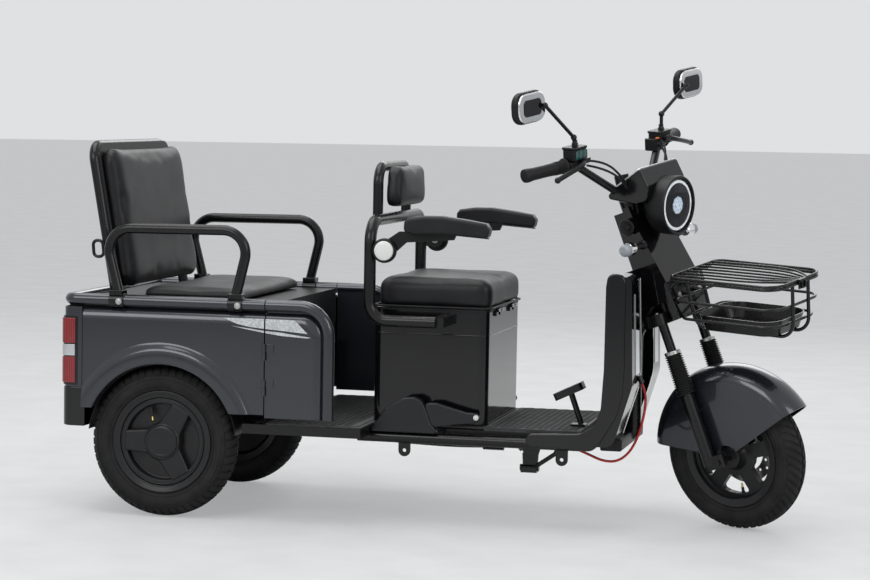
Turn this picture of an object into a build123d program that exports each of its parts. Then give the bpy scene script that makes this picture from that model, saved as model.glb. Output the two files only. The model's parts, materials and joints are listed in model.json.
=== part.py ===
from build123d import *
import os
from math import asin, cos, radians, sin, tan

os.makedirs("parts", exist_ok=True)

# Driving sizes in millimetres. X runs forward from the rear axle, Y to the left, Z up from the ground.
# The whole vehicle is set at the end so that the middle of its overall box is the origin.
MID_X = 723.0
MID_Y = -26.33

# Wheels
WHEELBASE = 1530
TRACK = 648
TYRE_RADIUS = 205
TYRE_HALF = 43
BEAD_RADIUS = 127
FLANGE_RADIUS = 137
RIM_HALF = 33
RIM_WALL = 4
HUB_INSET = 8
SEAT_GAP = 0.3

# Steering: the raked axis, how far the wheel is ahead of it, and how far it is turned as parked
RAKE = 20.3
TRAIL_AHEAD = 69
PARK_TURN = 26.3

# Rear body
BODY_HALF = 370
BODY_REAR = -285
TAIL_SEAM = -226
TAIL_CORNER = 28
LAMP_OUT = 4
LAMP_LOW = 355
LAMP_HIGH = 183
LAMP_DEEP = 40
LAMP_INNER = 300
DOOR_SEAM = 292
DOOR_FRONT = 482
BODY_TOP = 603
BODY_LOW = 285
SKIN = 3
RAIL_RADIUS = 16
ARCH_RADIUS = 213
FLARE_RADIUS = 268
FLARE_OUT = 12
DOOR_GAP = 1.5
DOOR_PIN_OUT = 6
DOOR_BARREL = 5
DOOR_BARREL_LONG = 22
DOOR_HINGES = (345, 440)
LEAF_LONG = 26
LEAF_THICK = 2.5

# Load floor and chassis
FLOOR_TOP = 270
FLOOR_THICK = 3
MAT_THICK = 8
SILL_TOP = FLOOR_TOP - FLOOR_THICK - SEAT_GAP
SILL_HIGH = 26
SILL_WIDE = 26
SILL_FRONT = 560
EDGE_TUBE = 15
EDGE_HALF = 238
EDGE_Z = 234
FOOT_FRONT = 1150
TAB_WIDE = 33
TAB_THICK = 5
TAB_HOLE = 5
TABS = ((650, 199), (1082, 194))
CROSS_X = 1000
CROSS_WIDE = 24
PEDAL_PLATE_Y = -150
MAT_UNDER = FLOOR_TOP - MAT_THICK - SEAT_GAP

# Seat box and rider's seat
BOX_REAR = 550
BOX_FRONT = 868
BOX_HALF = 208
BOX_CORNER = 24
BOX_HIGH = 306
BOX_WALL = 3
CUSHION_HIGH = 84
CUSHION_CORNER = 34
CUSHION_OVER = 14
BASE_THICK = 6
LID_HINGE_X = 876
HINGE_Y = 90
BATTERY_HIGH = 180
KNUCKLE = 4.5
KNUCKLE_LONG = 24
SEAT_TUBE = 16
SEAT_HOOP_HALF = 285
SEAT_HOOP_X = 558
SEAT_HOOP_TOP = 818
SEAT_BACK_RISE = 142
SEAT_BACK_HALF = 156
SEAT_BACK_TUBE = 14
SEAT_BACK_BEND = 46
SEAT_BACK_X = 544
SEAT_PAD_LOW = 112
SEAT_PAD_TOP = SEAT_BACK_HALF - 24
SEAT_PAD_DEEP = 50
REST_PIVOT = (602, 741)
REST_BOSS = 22
REST_PIN = 7
REST_PAD_WIDE = 48
EAR_Y = 284
EAR_THICK = 6
ARM_THICK = 10

# Rear bench and its back
BENCH_REAR = -96
BENCH_FRONT = 204
BENCH_HALF = 290
BENCH_THICK = 30
BACK_LEAN = 10
BACK_X = -162
BACK_TUBE = 14
BACK_HALF = 282
BACK_HIGH = 420
BACK_BEND = 44
BACK_PAD_LOW = 12
BACK_PAD_HIGH = 404
BACK_PAD_DEEP = 42

# Leg shield
SHIELD_REAR = 1200
SHIELD_FRONT = 1269
SHIELD_HALF = 250
SHIELD_TOP = 692
SHIELD_FOOT = 1130
SHIELD_SLOPE = 8
SHIELD_BEND = 400
PLATE_LOW = 425
PLATE_HIGH = 640

# Brake cable, clipped between the floor's cross tube and the leg shield
CABLE = 3.5
CABLE_ROUTE = (
    (CROSS_X + CROSS_WIDE / 2 + 0.9, -150, 236), (1050, -150, 230), (1095, -150, 217), (1137, -150, 201),
    (1177, -150, 184), (1217, -150, 184), (1249, -150, 209), (1269, -150, 247), (1282, -150, 290),
    (1290, -150, 334), (1290, -150, 372), (1279, -150, 398),
)

# Handlebar and head
HEAD_LOW = 400
HEAD_HIGH = 560
LEG_HALF = 87
LEG_AHEAD = 38


def section_plane(centre, side):
    """A plane through a wheel's axle: its X runs outward along the axle and its Y up."""
    return Plane(origin=centre, x_dir=(0, side, 0), z_dir=(side, 0, 0))


TYRE_SECTION = (
    # half width, radius
    (14, TYRE_RADIUS),
    (31, TYRE_RADIUS - 9),
    (TYRE_HALF, TYRE_RADIUS - 34),
    (TYRE_HALF - 3, BEAD_RADIUS + 24),
    (RIM_HALF - 3, FLANGE_RADIUS + 1),
    (RIM_HALF - 5, BEAD_RADIUS + SEAT_GAP),
)

# The steered front end is modelled straight ahead, then turned about the steering axis.
# Turning it about a raked axis would lift or drop the tyre, so the axis stands where the
# turned tyre's lowest point just meets the ground.
UP_AXIS = Vector(-sin(radians(RAKE)), 0, cos(radians(RAKE)))
AHEAD = Vector(cos(radians(RAKE)), 0, sin(radians(RAKE)))
FOOT_X = WHEELBASE - TRAIL_AHEAD / cos(radians(RAKE))


def turned_about_axis(vector):
    """A direction after the parked turn to the right about the steering axis."""
    along = UP_AXIS * vector.dot(UP_AXIS)
    across = vector - along
    swing = radians(-PARK_TURN)
    return along + across * cos(swing) + UP_AXIS.cross(across) * sin(swing)


LEAN = asin(abs(turned_about_axis(Vector(0, 1, 0)).Z))
AXLE_RISE = turned_about_axis(Vector(WHEELBASE - FOOT_X, 0, 0)).Z
TYRE_REACH = max(radius * cos(LEAN) + half * sin(LEAN) for half, radius in TYRE_SECTION)
AXIS_Z = TYRE_REACH - AXLE_RISE
FRONT_AXLE = Vector(WHEELBASE, 0, AXIS_Z)
AXIS_FOOT = Vector(FOOT_X, 0, AXIS_Z)
REAR_AXLES = {"right": Vector(0, -TRACK / 2, TYRE_RADIUS), "left": Vector(0, TRACK / 2, TYRE_RADIUS)}
SIDES = {"right": -1, "left": 1}

TO_FRAME = Location((-MID_X, -MID_Y, 0))
HEAD_PLANE = Plane(origin=AXIS_FOOT, x_dir=AHEAD, z_dir=UP_AXIS)
TO_PARKED = TO_FRAME * HEAD_PLANE.location * Location((0, 0, 0), (0, 0, -PARK_TURN))
TO_PARKED = TO_PARKED * HEAD_PLANE.location.inverse()


def head_point(up, ahead, left):
    """A point by its distance up the steering axis, ahead of it and to the left."""
    return AXIS_FOOT + UP_AXIS * up + AHEAD * ahead + Vector(0, left, 0)


def head_plane(up):
    """A plane square to the steering axis: its X runs ahead and its Y to the left."""
    return Plane(origin=head_point(up, 0, 0), x_dir=AHEAD, z_dir=UP_AXIS)


def write(piece, name, place=TO_FRAME):
    """Set a finished piece in the overall frame, label it and write its file."""
    piece.part = piece.part.moved(place) if place is TO_FRAME else place * piece.part
    piece.part.label = name
    export_step(piece.part, f"parts/{name}.step")


def tyre(centre):
    """A tyre round an axle along Y, from the table of its section."""
    with BuildPart() as ring:
        with BuildSketch(section_plane(centre, 1)):
            with BuildLine():
                Polyline(
                    *[(half, radius) for half, radius in TYRE_SECTION],
                    *[(-half, radius) for half, radius in reversed(TYRE_SECTION)],
                    close=True,
                )
            make_face()
        revolve(axis=Axis(centre, (0, 1, 0)))
    return ring


def rim_outline():
    """Half of the rim's section, inside edge first, from the axle's middle outward."""
    well = BEAD_RADIUS - 14
    return (
        (0, well),
        (12, well),
        (RIM_HALF - 12, BEAD_RADIUS),
        (RIM_HALF - 4, BEAD_RADIUS),
        (RIM_HALF - 2, FLANGE_RADIUS),
        (RIM_HALF + 1, FLANGE_RADIUS),
        (RIM_HALF, BEAD_RADIUS - RIM_WALL),
        (RIM_HALF - 12, BEAD_RADIUS - RIM_WALL),
        (14, well - RIM_WALL),
        (0, well - RIM_WALL),
    )


# Wheels

for name, side in SIDES.items():
    centre = REAR_AXLES[name]
    write(tyre(centre), f"tyre_rear_{name}")
    face = Plane(origin=centre, x_dir=(1, 0, 0), z_dir=(0, side, 0))
    cover_plane = face.offset(RIM_HALF - 10)
    with BuildPart() as rear_wheel:
        with BuildSketch(section_plane(centre, 1)):
            with BuildLine():
                outline = rim_outline()
                Polyline(*outline, *[(-half, radius) for half, radius in reversed(outline[1:-1])], close=True)
            make_face()
        revolve(axis=Axis(centre, (0, 1, 0)))
        # the moulded cover with its arc slots and three lobes
        with BuildSketch(cover_plane):
            Circle(BEAD_RADIUS - 3)
        extrude(amount=5)
        with BuildSketch(cover_plane):
            with PolarLocations(0, 3, start_angle=30):
                SlotArc(CenterArc((0, 0), 88, -26, 52), 16)
        extrude(amount=5, mode=Mode.SUBTRACT)
        with BuildSketch(cover_plane):
            Circle(64)
            with PolarLocations(90, 3, start_angle=90):
                Rectangle(56, 40)
        extrude(amount=16)
        with BuildSketch(cover_plane.offset(16)):
            Circle(48)
        extrude(amount=6, taper=20)
        with BuildSketch(face.offset(-RIM_HALF - HUB_INSET)):
            Circle(30)
        extrude(amount=2 * RIM_HALF)
    write(rear_wheel, f"wheel_rear_{name}")

write(tyre(FRONT_AXLE), "tyre_front", TO_PARKED)

SPOKES = 10
front_face = Plane(origin=FRONT_AXLE, x_dir=(1, 0, 0), z_dir=(0, -1, 0))
with BuildPart() as front_wheel:
    with BuildSketch(section_plane(FRONT_AXLE, 1)):
        with BuildLine():
            outline = rim_outline()
            Polyline(*outline, *[(-half, radius) for half, radius in reversed(outline[1:-1])], close=True)
        make_face()
    revolve(axis=Axis(FRONT_AXLE, (0, 1, 0)))
    with BuildSketch(front_face.offset(-10)):
        Circle(46)
        with PolarLocations(79, SPOKES):
            Rectangle(72, 14)
    extrude(amount=20)
    with BuildSketch(front_face.offset(-36)):
        Circle(32)
    extrude(amount=72)
    with BuildSketch(front_face.offset(-44)):
        Circle(90)
        Circle(60, mode=Mode.SUBTRACT)
        with PolarLocations(75, 16):
            Circle(5, mode=Mode.SUBTRACT)
    extrude(amount=4)
    with BuildSketch(front_face.offset(-42)):
        Circle(34)
        with PolarLocations(46, 5):
            Rectangle(34, 14)
    extrude(amount=8)
    with BuildSketch(front_face.offset(-60)):
        Circle(8.5)
    extrude(amount=120, mode=Mode.SUBTRACT)
write(front_wheel, "wheel_front", TO_PARKED)


# Chassis

def bend_tube(points, radius, bend=0):
    """Sweep a round tube along straight runs joined by arcs, into the part being built."""
    with BuildLine() as route:
        if len(points) == 2:
            Line(*points)
        else:
            FilletPolyline(*points, radius=bend)
    with BuildSketch(Plane(origin=route.line @ 0, z_dir=route.line % 0)) as section:
        Circle(radius)
    sweep(section.sketch, path=route.line)


BACKBONE = 20
HEAD_TUBE = 24
STEM = 14
with BuildPart() as frame:
    for side in SIDES.values():
        bend_tube(
            ((SILL_FRONT - 40, side * EDGE_HALF, EDGE_Z), (FOOT_FRONT - 20, side * EDGE_HALF, EDGE_Z)),
            EDGE_TUBE,
        )
        # perimeter sill under the rear body
        with Locations(((230 + SILL_FRONT) / 2, side * (BODY_HALF - SILL_WIDE / 2 - 4), SILL_TOP - SILL_HIGH / 2)):
            Box(SILL_FRONT - 230, SILL_WIDE, SILL_HIGH)
        # main rail to the tail
        with Locations(((-240 + SILL_FRONT) / 2, side * 190, SILL_TOP - SILL_HIGH / 2)):
            Box(SILL_FRONT + 240, SILL_WIDE, SILL_HIGH)
    for x in (230 + SILL_WIDE / 2, SILL_FRONT - SILL_WIDE / 2):
        with Locations((x, 0, SILL_TOP - SILL_HIGH / 2)):
            Box(SILL_WIDE, 2 * (BODY_HALF - 4), SILL_HIGH)
    with Locations((-240 + SILL_WIDE / 2, 0, SILL_TOP - SILL_HIGH / 2)):
        Box(SILL_WIDE, 2 * 190, SILL_HIGH)
    # cross tubes under the foot floor
    for x in (700, CROSS_X):
        with Locations((x, 0, (EDGE_Z - 12 + MAT_UNDER) / 2)):
            Box(CROSS_WIDE, 2 * EDGE_HALF, MAT_UNDER - EDGE_Z + 12)
    # bracket under the foot brake
    with BuildSketch(Plane(origin=(0, PEDAL_PLATE_Y, 0), x_dir=(1, 0, 0), z_dir=(0, -1, 0))):
        with BuildLine():
            Polyline((932, 224), (1012, 224), (1002, 192), (1000, 152), (960, 152), (958, 192), close=True)
        make_face()
        with Locations((948, 212), (956, 198), (992, 212)):
            Circle(4, mode=Mode.SUBTRACT)
    extrude(amount=3, both=True)
    with Locations((979, PEDAL_PLATE_Y, 152)):
        Box(44, 40, 14)
    with Locations(((932 + CROSS_X) / 2, PEDAL_PLATE_Y, 226)):
        Box(CROSS_X - 932, 30, 5)
    # drilled mounting tabs below the edge tubes, each by its hole's place along and up
    for side in SIDES.values():
        with BuildSketch(Plane(origin=(0, side * EDGE_HALF, 0), x_dir=(1, 0, 0), z_dir=(0, -1, 0))):
            for x, z in TABS:
                with Locations((x, (z + EDGE_Z) / 2)):
                    Rectangle(TAB_WIDE, EDGE_Z - z)
                with Locations((x, z)):
                    Circle(TAB_WIDE / 2)
                    Circle(TAB_HOLE, mode=Mode.SUBTRACT)
        extrude(amount=TAB_THICK / 2, both=True)
    # backbone from the sill to the head tube
    bend_tube(
        ((SILL_FRONT - 30, 0, EDGE_Z), (1236, 0, EDGE_Z), (1236, 0, 520), tuple(head_point(440, -8, 0))),
        BACKBONE, (30, 60),
    )
    with BuildSketch(head_plane(HEAD_LOW)):
        Circle(HEAD_TUBE)
    extrude(amount=HEAD_HIGH - HEAD_LOW)
    with BuildSketch(head_plane(HEAD_LOW - 1)):
        Circle(STEM + 1)
    extrude(amount=HEAD_HIGH - HEAD_LOW + 2, mode=Mode.SUBTRACT)
write(frame, "frame")

with BuildPart() as floor_plates:
    mat_front = SHIELD_FOOT - SEAT_GAP
    with Locations(((BOX_FRONT + 1 + mat_front) / 2, 0, FLOOR_TOP - MAT_THICK / 2)):
        Box(mat_front - BOX_FRONT - 1, 2 * EDGE_HALF, MAT_THICK)
    with Locations(((DOOR_SEAM + 4 + SILL_FRONT) / 2, 0, FLOOR_TOP - FLOOR_THICK / 2)):
        Box(SILL_FRONT - DOOR_SEAM - 4, 2 * (BODY_HALF - 6), FLOOR_THICK)
    with Locations(((SILL_FRONT + BOX_FRONT + 2) / 2, 0, FLOOR_TOP - FLOOR_THICK / 2)):
        Box(BOX_FRONT + 2 - SILL_FRONT, 2 * EDGE_HALF, FLOOR_THICK)
write(floor_plates, "floor_plates")

with BuildPart() as leg_shield:
    with BuildSketch(Plane.XZ.offset(-SHIELD_HALF)):
        with BuildLine():
            FilletPolyline(
                (SHIELD_FOOT, FLOOR_TOP), (SHIELD_REAR, 330), (SHIELD_REAR, SHIELD_TOP),
                (SHIELD_FRONT - SHIELD_SLOPE, SHIELD_TOP - 6), (SHIELD_FRONT, SHIELD_BEND),
                (SHIELD_FRONT - 50, EDGE_Z),
                (SHIELD_FOOT, EDGE_Z),
                radius=(80, 26, 20, 60, 30),
            )
            Line((SHIELD_FOOT, EDGE_Z), (SHIELD_FOOT, FLOOR_TOP))
        make_face()
    extrude(amount=2 * SHIELD_HALF)
    with BuildSketch(Plane.XY.offset(EDGE_Z - 10)):
        with Locations((SHIELD_FRONT + 10, 0)):
            RectangleRounded(130, 220, 30)
    extrude(amount=SHIELD_TOP - EDGE_Z + 20, mode=Mode.SUBTRACT)
    with Locations((SHIELD_REAR - 20, 0, EDGE_Z)):
        Box(150, 2 * (BACKBONE + 3), 2 * (BACKBONE + 9), mode=Mode.SUBTRACT)
    # gland that holds the brake cable's upper end
    with BuildSketch(Plane(origin=CABLE_ROUTE[-1], z_dir=Vector(*CABLE_ROUTE[-1]) - Vector(*CABLE_ROUTE[-2]))):
        Circle(2 * CABLE)
    extrude(amount=22)
write(leg_shield, "leg_shield")


def shield_face(height):
    """How far forward the leg shield's front face is at a height."""
    return SHIELD_FRONT - SHIELD_SLOPE * (height - SHIELD_BEND) / (SHIELD_TOP - 6 - SHIELD_BEND)


with BuildPart() as shield_plates:
    for side in SIDES.values():
        with BuildSketch(Plane(origin=(0, side * 170, 0), x_dir=(1, 0, 0), z_dir=(0, -1, 0))):
            with BuildLine():
                low_x = shield_face(PLATE_LOW) + SEAT_GAP
                high_x = shield_face(PLATE_HIGH) + SEAT_GAP
                Polyline(
                    (low_x, PLATE_LOW), (low_x + 2, PLATE_LOW), (high_x + 2, PLATE_HIGH), (high_x, PLATE_HIGH), close=True
                )
            make_face()
        extrude(amount=30, both=True)
write(shield_plates, "shield_plates")

with BuildPart() as brake_pedal:
    bend_tube(((1112, -120, FLOOR_TOP + 8), (1082, -120, 362)), 8)
    with Locations((1106, -120, FLOOR_TOP + SEAT_GAP + 4)):
        Box(40, 40, 8)
    with BuildSketch(Plane(origin=(1078, -120, 366), x_dir=(0.9, 0, 0.43), z_dir=(-0.43, 0, 0.9))):
        RectangleRounded(84, 60, 12)
    extrude(amount=10, both=True)
write(brake_pedal, "brake_pedal")

cable_bends = []
for start, corner, end in zip(CABLE_ROUTE, CABLE_ROUTE[1:], CABLE_ROUTE[2:]):
    back = Vector(*corner) - Vector(*start)
    on = Vector(*end) - Vector(*corner)
    cable_bends.append(0.45 * min(back.length, on.length) / tan(radians(back.get_angle(on) / 2)))
print("brake cable radii", [round(bend) for bend in cable_bends])
with BuildPart() as brake_cable:
    bend_tube(CABLE_ROUTE, CABLE, cable_bends)
write(brake_cable, "brake_cable")

# Seat box, battery and rider's seat

box_middle = (BOX_REAR + BOX_FRONT) / 2
box_long = BOX_FRONT - BOX_REAR
with BuildPart() as seat_box:
    with BuildSketch(Plane.XY.offset(FLOOR_TOP + SEAT_GAP)):
        with Locations((box_middle, 0)):
            RectangleRounded(box_long, 2 * BOX_HALF, BOX_CORNER)
    extrude(amount=BOX_HIGH)
    with BuildSketch(Plane.XY.offset(FLOOR_TOP + SEAT_GAP + BOX_WALL)):
        with Locations((box_middle, 0)):
            RectangleRounded(box_long - 2 * BOX_WALL, 2 * (BOX_HALF - BOX_WALL), BOX_CORNER - BOX_WALL)
    extrude(amount=BOX_HIGH, mode=Mode.SUBTRACT)
    # hinge knuckles either side of each of the lid's
    for y in (-HINGE_Y, HINGE_Y):
        for step in (-1, 1):
            middle = y + step * (KNUCKLE_LONG + SEAT_GAP)
            knuckle_plane = Plane(
                origin=(LID_HINGE_X, middle, FLOOR_TOP + BOX_HIGH + 2 * SEAT_GAP), x_dir=(1, 0, 0), z_dir=(0, 1, 0)
            )
            with BuildSketch(knuckle_plane):
                Circle(KNUCKLE)
                with Locations((-KNUCKLE - 2, KNUCKLE + 4)):
                    Rectangle(KNUCKLE + 4, 12)
            extrude(amount=KNUCKLE_LONG / 2, both=True)
write(seat_box, "seat_box")

with BuildPart() as battery:
    with Locations((box_middle, 0, FLOOR_TOP + BOX_WALL + 2 * SEAT_GAP + BATTERY_HIGH / 2)):
        Box(240, 330, BATTERY_HIGH)
write(battery, "battery")

lid_low = FLOOR_TOP + BOX_HIGH + 2 * SEAT_GAP
with BuildPart() as seat_base:
    with BuildSketch(Plane.XY.offset(lid_low)):
        with Locations((box_middle + 1, 0)):
            RectangleRounded(box_long + 2, 2 * BOX_HALF + 6, CUSHION_CORNER)
    extrude(amount=BASE_THICK)
    for y in (-HINGE_Y, HINGE_Y):
        with BuildSketch(Plane(origin=(LID_HINGE_X, y, lid_low), x_dir=(1, 0, 0), z_dir=(0, 1, 0))):
            Circle(KNUCKLE)
            with Locations((-KNUCKLE - 4, -BASE_THICK / 2)):
                Rectangle(2 * KNUCKLE + 8, BASE_THICK)
        extrude(amount=KNUCKLE_LONG / 2, both=True)
write(seat_base, "seat_base")

with BuildPart() as seat_cushion:
    with BuildSketch(Plane.XY.offset(lid_low + BASE_THICK + SEAT_GAP)):
        with Locations((box_middle + CUSHION_OVER / 2, 0)):
            RectangleRounded(box_long + CUSHION_OVER, 2 * BOX_HALF + CUSHION_OVER, CUSHION_CORNER)
    extrude(amount=CUSHION_HIGH - BASE_THICK)
    fillet(seat_cushion.faces().sort_by(Axis.Z)[-1].edges(), 24)
write(seat_cushion, "seat_cushion")

pivot_x, pivot_z = REST_PIVOT
back_top = SEAT_HOOP_TOP + SEAT_BACK_RISE
with BuildPart() as seat_frame:
    hoop = SEAT_HOOP_HALF
    bend_tube(
        (
            (742, -hoop, 552), (SEAT_HOOP_X, -hoop, 552), (SEAT_HOOP_X, -hoop, SEAT_HOOP_TOP),
            (SEAT_HOOP_X, hoop, SEAT_HOOP_TOP), (SEAT_HOOP_X, hoop, 552), (742, hoop, 552),
        ),
        SEAT_TUBE, (50, 60, 60, 50),
    )
    bend_tube(
        (
            (SEAT_BACK_X, -SEAT_BACK_HALF, SEAT_HOOP_TOP), (SEAT_BACK_X, -SEAT_BACK_HALF, back_top),
            (SEAT_BACK_X, SEAT_BACK_HALF, back_top), (SEAT_BACK_X, SEAT_BACK_HALF, SEAT_HOOP_TOP),
        ),
        SEAT_BACK_TUBE, (SEAT_BACK_BEND, SEAT_BACK_BEND),
    )
    for side in SIDES.values():
        with Locations((748, side * (BOX_HALF + SEAT_GAP + (hoop - BOX_HALF) / 2), 552)):
            Box(30, hoop - BOX_HALF, 26)
        # ear that carries the armrest's pin
        with BuildSketch(Plane(origin=(0, side * EAR_Y, 0), x_dir=(1, 0, 0), z_dir=(0, -1, 0))):
            with Locations((pivot_x, pivot_z)):
                Circle(REST_BOSS)
            with Locations(((SEAT_HOOP_X + pivot_x) / 2, pivot_z)):
                Rectangle(pivot_x - SEAT_HOOP_X, 36)
            with Locations((pivot_x, pivot_z)):
                Circle(REST_PIN + SEAT_GAP, mode=Mode.SUBTRACT)
        extrude(amount=EAR_THICK / 2, both=True)
write(seat_frame, "seat_frame")

with BuildPart() as seat_back_pad:
    with BuildSketch(Plane.YZ.offset(SEAT_BACK_X + SEAT_BACK_TUBE + SEAT_GAP)):
        with BuildLine():
            FilletPolyline(
                (-SEAT_BACK_HALF, back_top - SEAT_PAD_LOW), (SEAT_BACK_HALF, back_top - SEAT_PAD_LOW),
                (SEAT_PAD_TOP, back_top + 4), (-SEAT_PAD_TOP, back_top + 4), radius=30, close=True,
            )
        make_face()
    extrude(amount=SEAT_PAD_DEEP)
    fillet(seat_back_pad.faces().sort_by(Axis.X)[-1].edges(), 16)
write(seat_back_pad, "seat_back_pad")

arm_inner = EAR_Y + EAR_THICK / 2 + SEAT_GAP
pad_middle = arm_inner + REST_PAD_WIDE / 2 + 1
for name, side in SIDES.items():
    with BuildPart() as armrest:
        with BuildSketch(Plane(origin=(0, side * arm_inner, 0), x_dir=(1, 0, 0), z_dir=(0, -1, 0))):
            with Locations((pivot_x, pivot_z)):
                Circle(REST_BOSS)
            with BuildLine():
                Polyline(
                    (pivot_x - 8, pivot_z + 20), (640, 793 - SEAT_GAP), (800, 796 - SEAT_GAP), (790, 774),
                    (660, 764), (pivot_x + 14, pivot_z - 17), close=True,
                )
            make_face()
        extrude(amount=-side * ARM_THICK)
        with BuildSketch(Plane(origin=(pivot_x, 0, pivot_z), x_dir=(1, 0, 0), z_dir=(0, side, 0)).offset(arm_inner)):
            Circle(REST_PIN)
        extrude(amount=-EAR_THICK - 2 * SEAT_GAP - 4)
    write(armrest, f"armrest_{name}")
    with BuildPart() as armrest_pad:
        with BuildSketch(Plane(origin=(0, side * pad_middle, 0), x_dir=(1, 0, 0), z_dir=(0, -1, 0))):
            with BuildLine():
                ThreePointArc((640, 824), (745, 836), (884, 822))
                Polyline((884, 822), (880, 784), (800, 796), (640, 793), (640, 824))
            make_face()
        extrude(amount=REST_PAD_WIDE / 2, both=True)
    write(armrest_pad, f"armrest_pad_{name}")

mould_low = EDGE_Z + EDGE_TUBE + SEAT_GAP
with BuildPart() as side_mouldings:
    for side in SIDES.values():
        with BuildSketch(Plane(origin=(0, side * (EDGE_HALF + 12), 0), x_dir=(1, 0, 0), z_dir=(0, -1, 0))):
            with BuildLine():
                Polyline(
                    (SILL_FRONT + 2, mould_low), (576, 300), (628, 340), (672, 342), (700, 312), (860, 300),
                    (862, 284), (760, 278), (750, mould_low), close=True,
                )
            make_face()
        extrude(amount=12, both=True)
write(side_mouldings, "side_mouldings")

# Rear body

RAIL_Y = BODY_HALF - RAIL_RADIUS + 2
TUB_HALF = 203
TUB_FLOOR = 428
TUB_TOP = BODY_TOP - RAIL_RADIUS
WIDE_HALF = RAIL_Y - RAIL_RADIUS - SEAT_GAP
TAIL_WALL = 10
with BuildPart() as body_tub:
    for start, end, shrink, low in (
        (BODY_REAR + TAIL_WALL + SEAT_GAP, DOOR_SEAM - 2, 0, SILL_TOP + SEAT_GAP),
        (BODY_REAR + TAIL_WALL + SEAT_GAP + SKIN, DOOR_SEAM - 2 - SKIN, SKIN, SILL_TOP - 10),
    ):
        half = TUB_HALF - shrink
        wide = WIDE_HALF - shrink
        with BuildSketch(Plane.YZ.offset(start)):
            with BuildLine():
                Polyline(
                    (-half, low), (-half, TUB_FLOOR + shrink), (-wide, TUB_FLOOR + shrink), (-wide, TUB_TOP - shrink),
                    (wide, TUB_TOP - shrink), (wide, TUB_FLOOR + shrink), (half, TUB_FLOOR + shrink), (half, low),
                    close=True,
                )
            make_face()
        extrude(amount=end - start, mode=Mode.SUBTRACT if shrink else Mode.ADD)
write(body_tub, "body_tub")


def half_hinge(side, low, forward):
    """One barrel of a door hinge with its leaf on the panel, ahead of the pin or behind it."""
    out = side * BODY_HALF
    with Locations((DOOR_SEAM, out + side * DOOR_PIN_OUT, low + DOOR_BARREL_LONG / 2)):
        Cylinder(DOOR_BARREL, DOOR_BARREL_LONG)
    with Locations((DOOR_SEAM + forward * LEAF_LONG / 2, out + side * LEAF_THICK / 2, low + DOOR_BARREL_LONG / 2)):
        Box(LEAF_LONG, LEAF_THICK, DOOR_BARREL_LONG)


shoulder = (
    # out from the middle, up
    (BODY_HALF, BODY_LOW + 8),
    (BODY_HALF, 540),
    (BODY_HALF - 9, 558),
    (BODY_HALF - 20, 577),
)
for name, side in SIDES.items():
    axle = REAR_AXLES[name]
    with BuildPart() as side_panel:
        with BuildSketch(Plane.YZ.offset(TAIL_SEAM)):
            with BuildLine():
                Polyline(
                    *[(side * out, up) for out, up in shoulder],
                    *[(side * (out - SKIN), up - 1) for out, up in reversed(shoulder)],
                    close=True,
                )
            make_face()
        extrude(amount=DOOR_SEAM - DOOR_GAP - TAIL_SEAM)
        # flared lip round the wheel
        with BuildSketch(section_plane(axle, side)):
            with BuildLine():
                outer = BODY_HALF - TRACK / 2
                Polyline(
                    (outer - SKIN, FLARE_RADIUS), (outer, FLARE_RADIUS + 4), (outer + FLARE_OUT, FLARE_RADIUS - 30),
                    (outer + FLARE_OUT, ARCH_RADIUS), (outer + FLARE_OUT - SKIN, ARCH_RADIUS),
                    (outer + FLARE_OUT - SKIN, FLARE_RADIUS - 32), close=True,
                )
            make_face()
        revolve(axis=Axis(axle, (0, 1, 0)))
        with BuildSketch(Plane(origin=axle, x_dir=(1, 0, 0), z_dir=(0, -1, 0))):
            Circle(ARCH_RADIUS)
        extrude(amount=100, both=True, mode=Mode.SUBTRACT)
        with Locations((0, axle.Y, BODY_LOW + 8 - 200)):
            Box(1200, 300, 400, mode=Mode.SUBTRACT)
        with Locations((TAIL_SEAM - 200, axle.Y, 400)):
            Box(400, 300, 600, mode=Mode.SUBTRACT)
        # rolled rail along the top
        bend_tube(
            (
                (TAIL_SEAM, side * RAIL_Y, BODY_TOP - RAIL_RADIUS),
                (DOOR_SEAM - DOOR_GAP, side * RAIL_Y, BODY_TOP - RAIL_RADIUS),
            ),
            RAIL_RADIUS,
        )
        for z in DOOR_HINGES:
            half_hinge(side, z, -1)
    write(side_panel, f"side_panel_{name}")

    with BuildPart() as door:
        bend_tube(
            (
                (DOOR_SEAM + DOOR_GAP, side * RAIL_Y, BODY_TOP - RAIL_RADIUS),
                (DOOR_FRONT - RAIL_RADIUS, side * RAIL_Y, BODY_TOP - RAIL_RADIUS),
                (DOOR_FRONT - RAIL_RADIUS, side * RAIL_Y, BODY_LOW),
            ),
            RAIL_RADIUS, 78,
        )
        with BuildSketch(Plane(origin=(0, side * BODY_HALF, 0), x_dir=(1, 0, 0), z_dir=(0, -1, 0))):
            with BuildLine():
                FilletPolyline(
                    (DOOR_SEAM + DOOR_GAP, BODY_LOW), (DOOR_SEAM + DOOR_GAP, BODY_TOP - RAIL_RADIUS),
                    (DOOR_FRONT - RAIL_RADIUS, BODY_TOP - RAIL_RADIUS), (DOOR_FRONT - RAIL_RADIUS, BODY_LOW),
                    radius=(0, 78),
                )
                Line((DOOR_FRONT - RAIL_RADIUS, BODY_LOW), (DOOR_SEAM + DOOR_GAP, BODY_LOW))
            make_face()
        extrude(amount=side * 24)
        for z in DOOR_HINGES:
            half_hinge(side, z + DOOR_BARREL_LONG + SEAT_GAP, 1)
    write(door, f"door_{name}")

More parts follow.
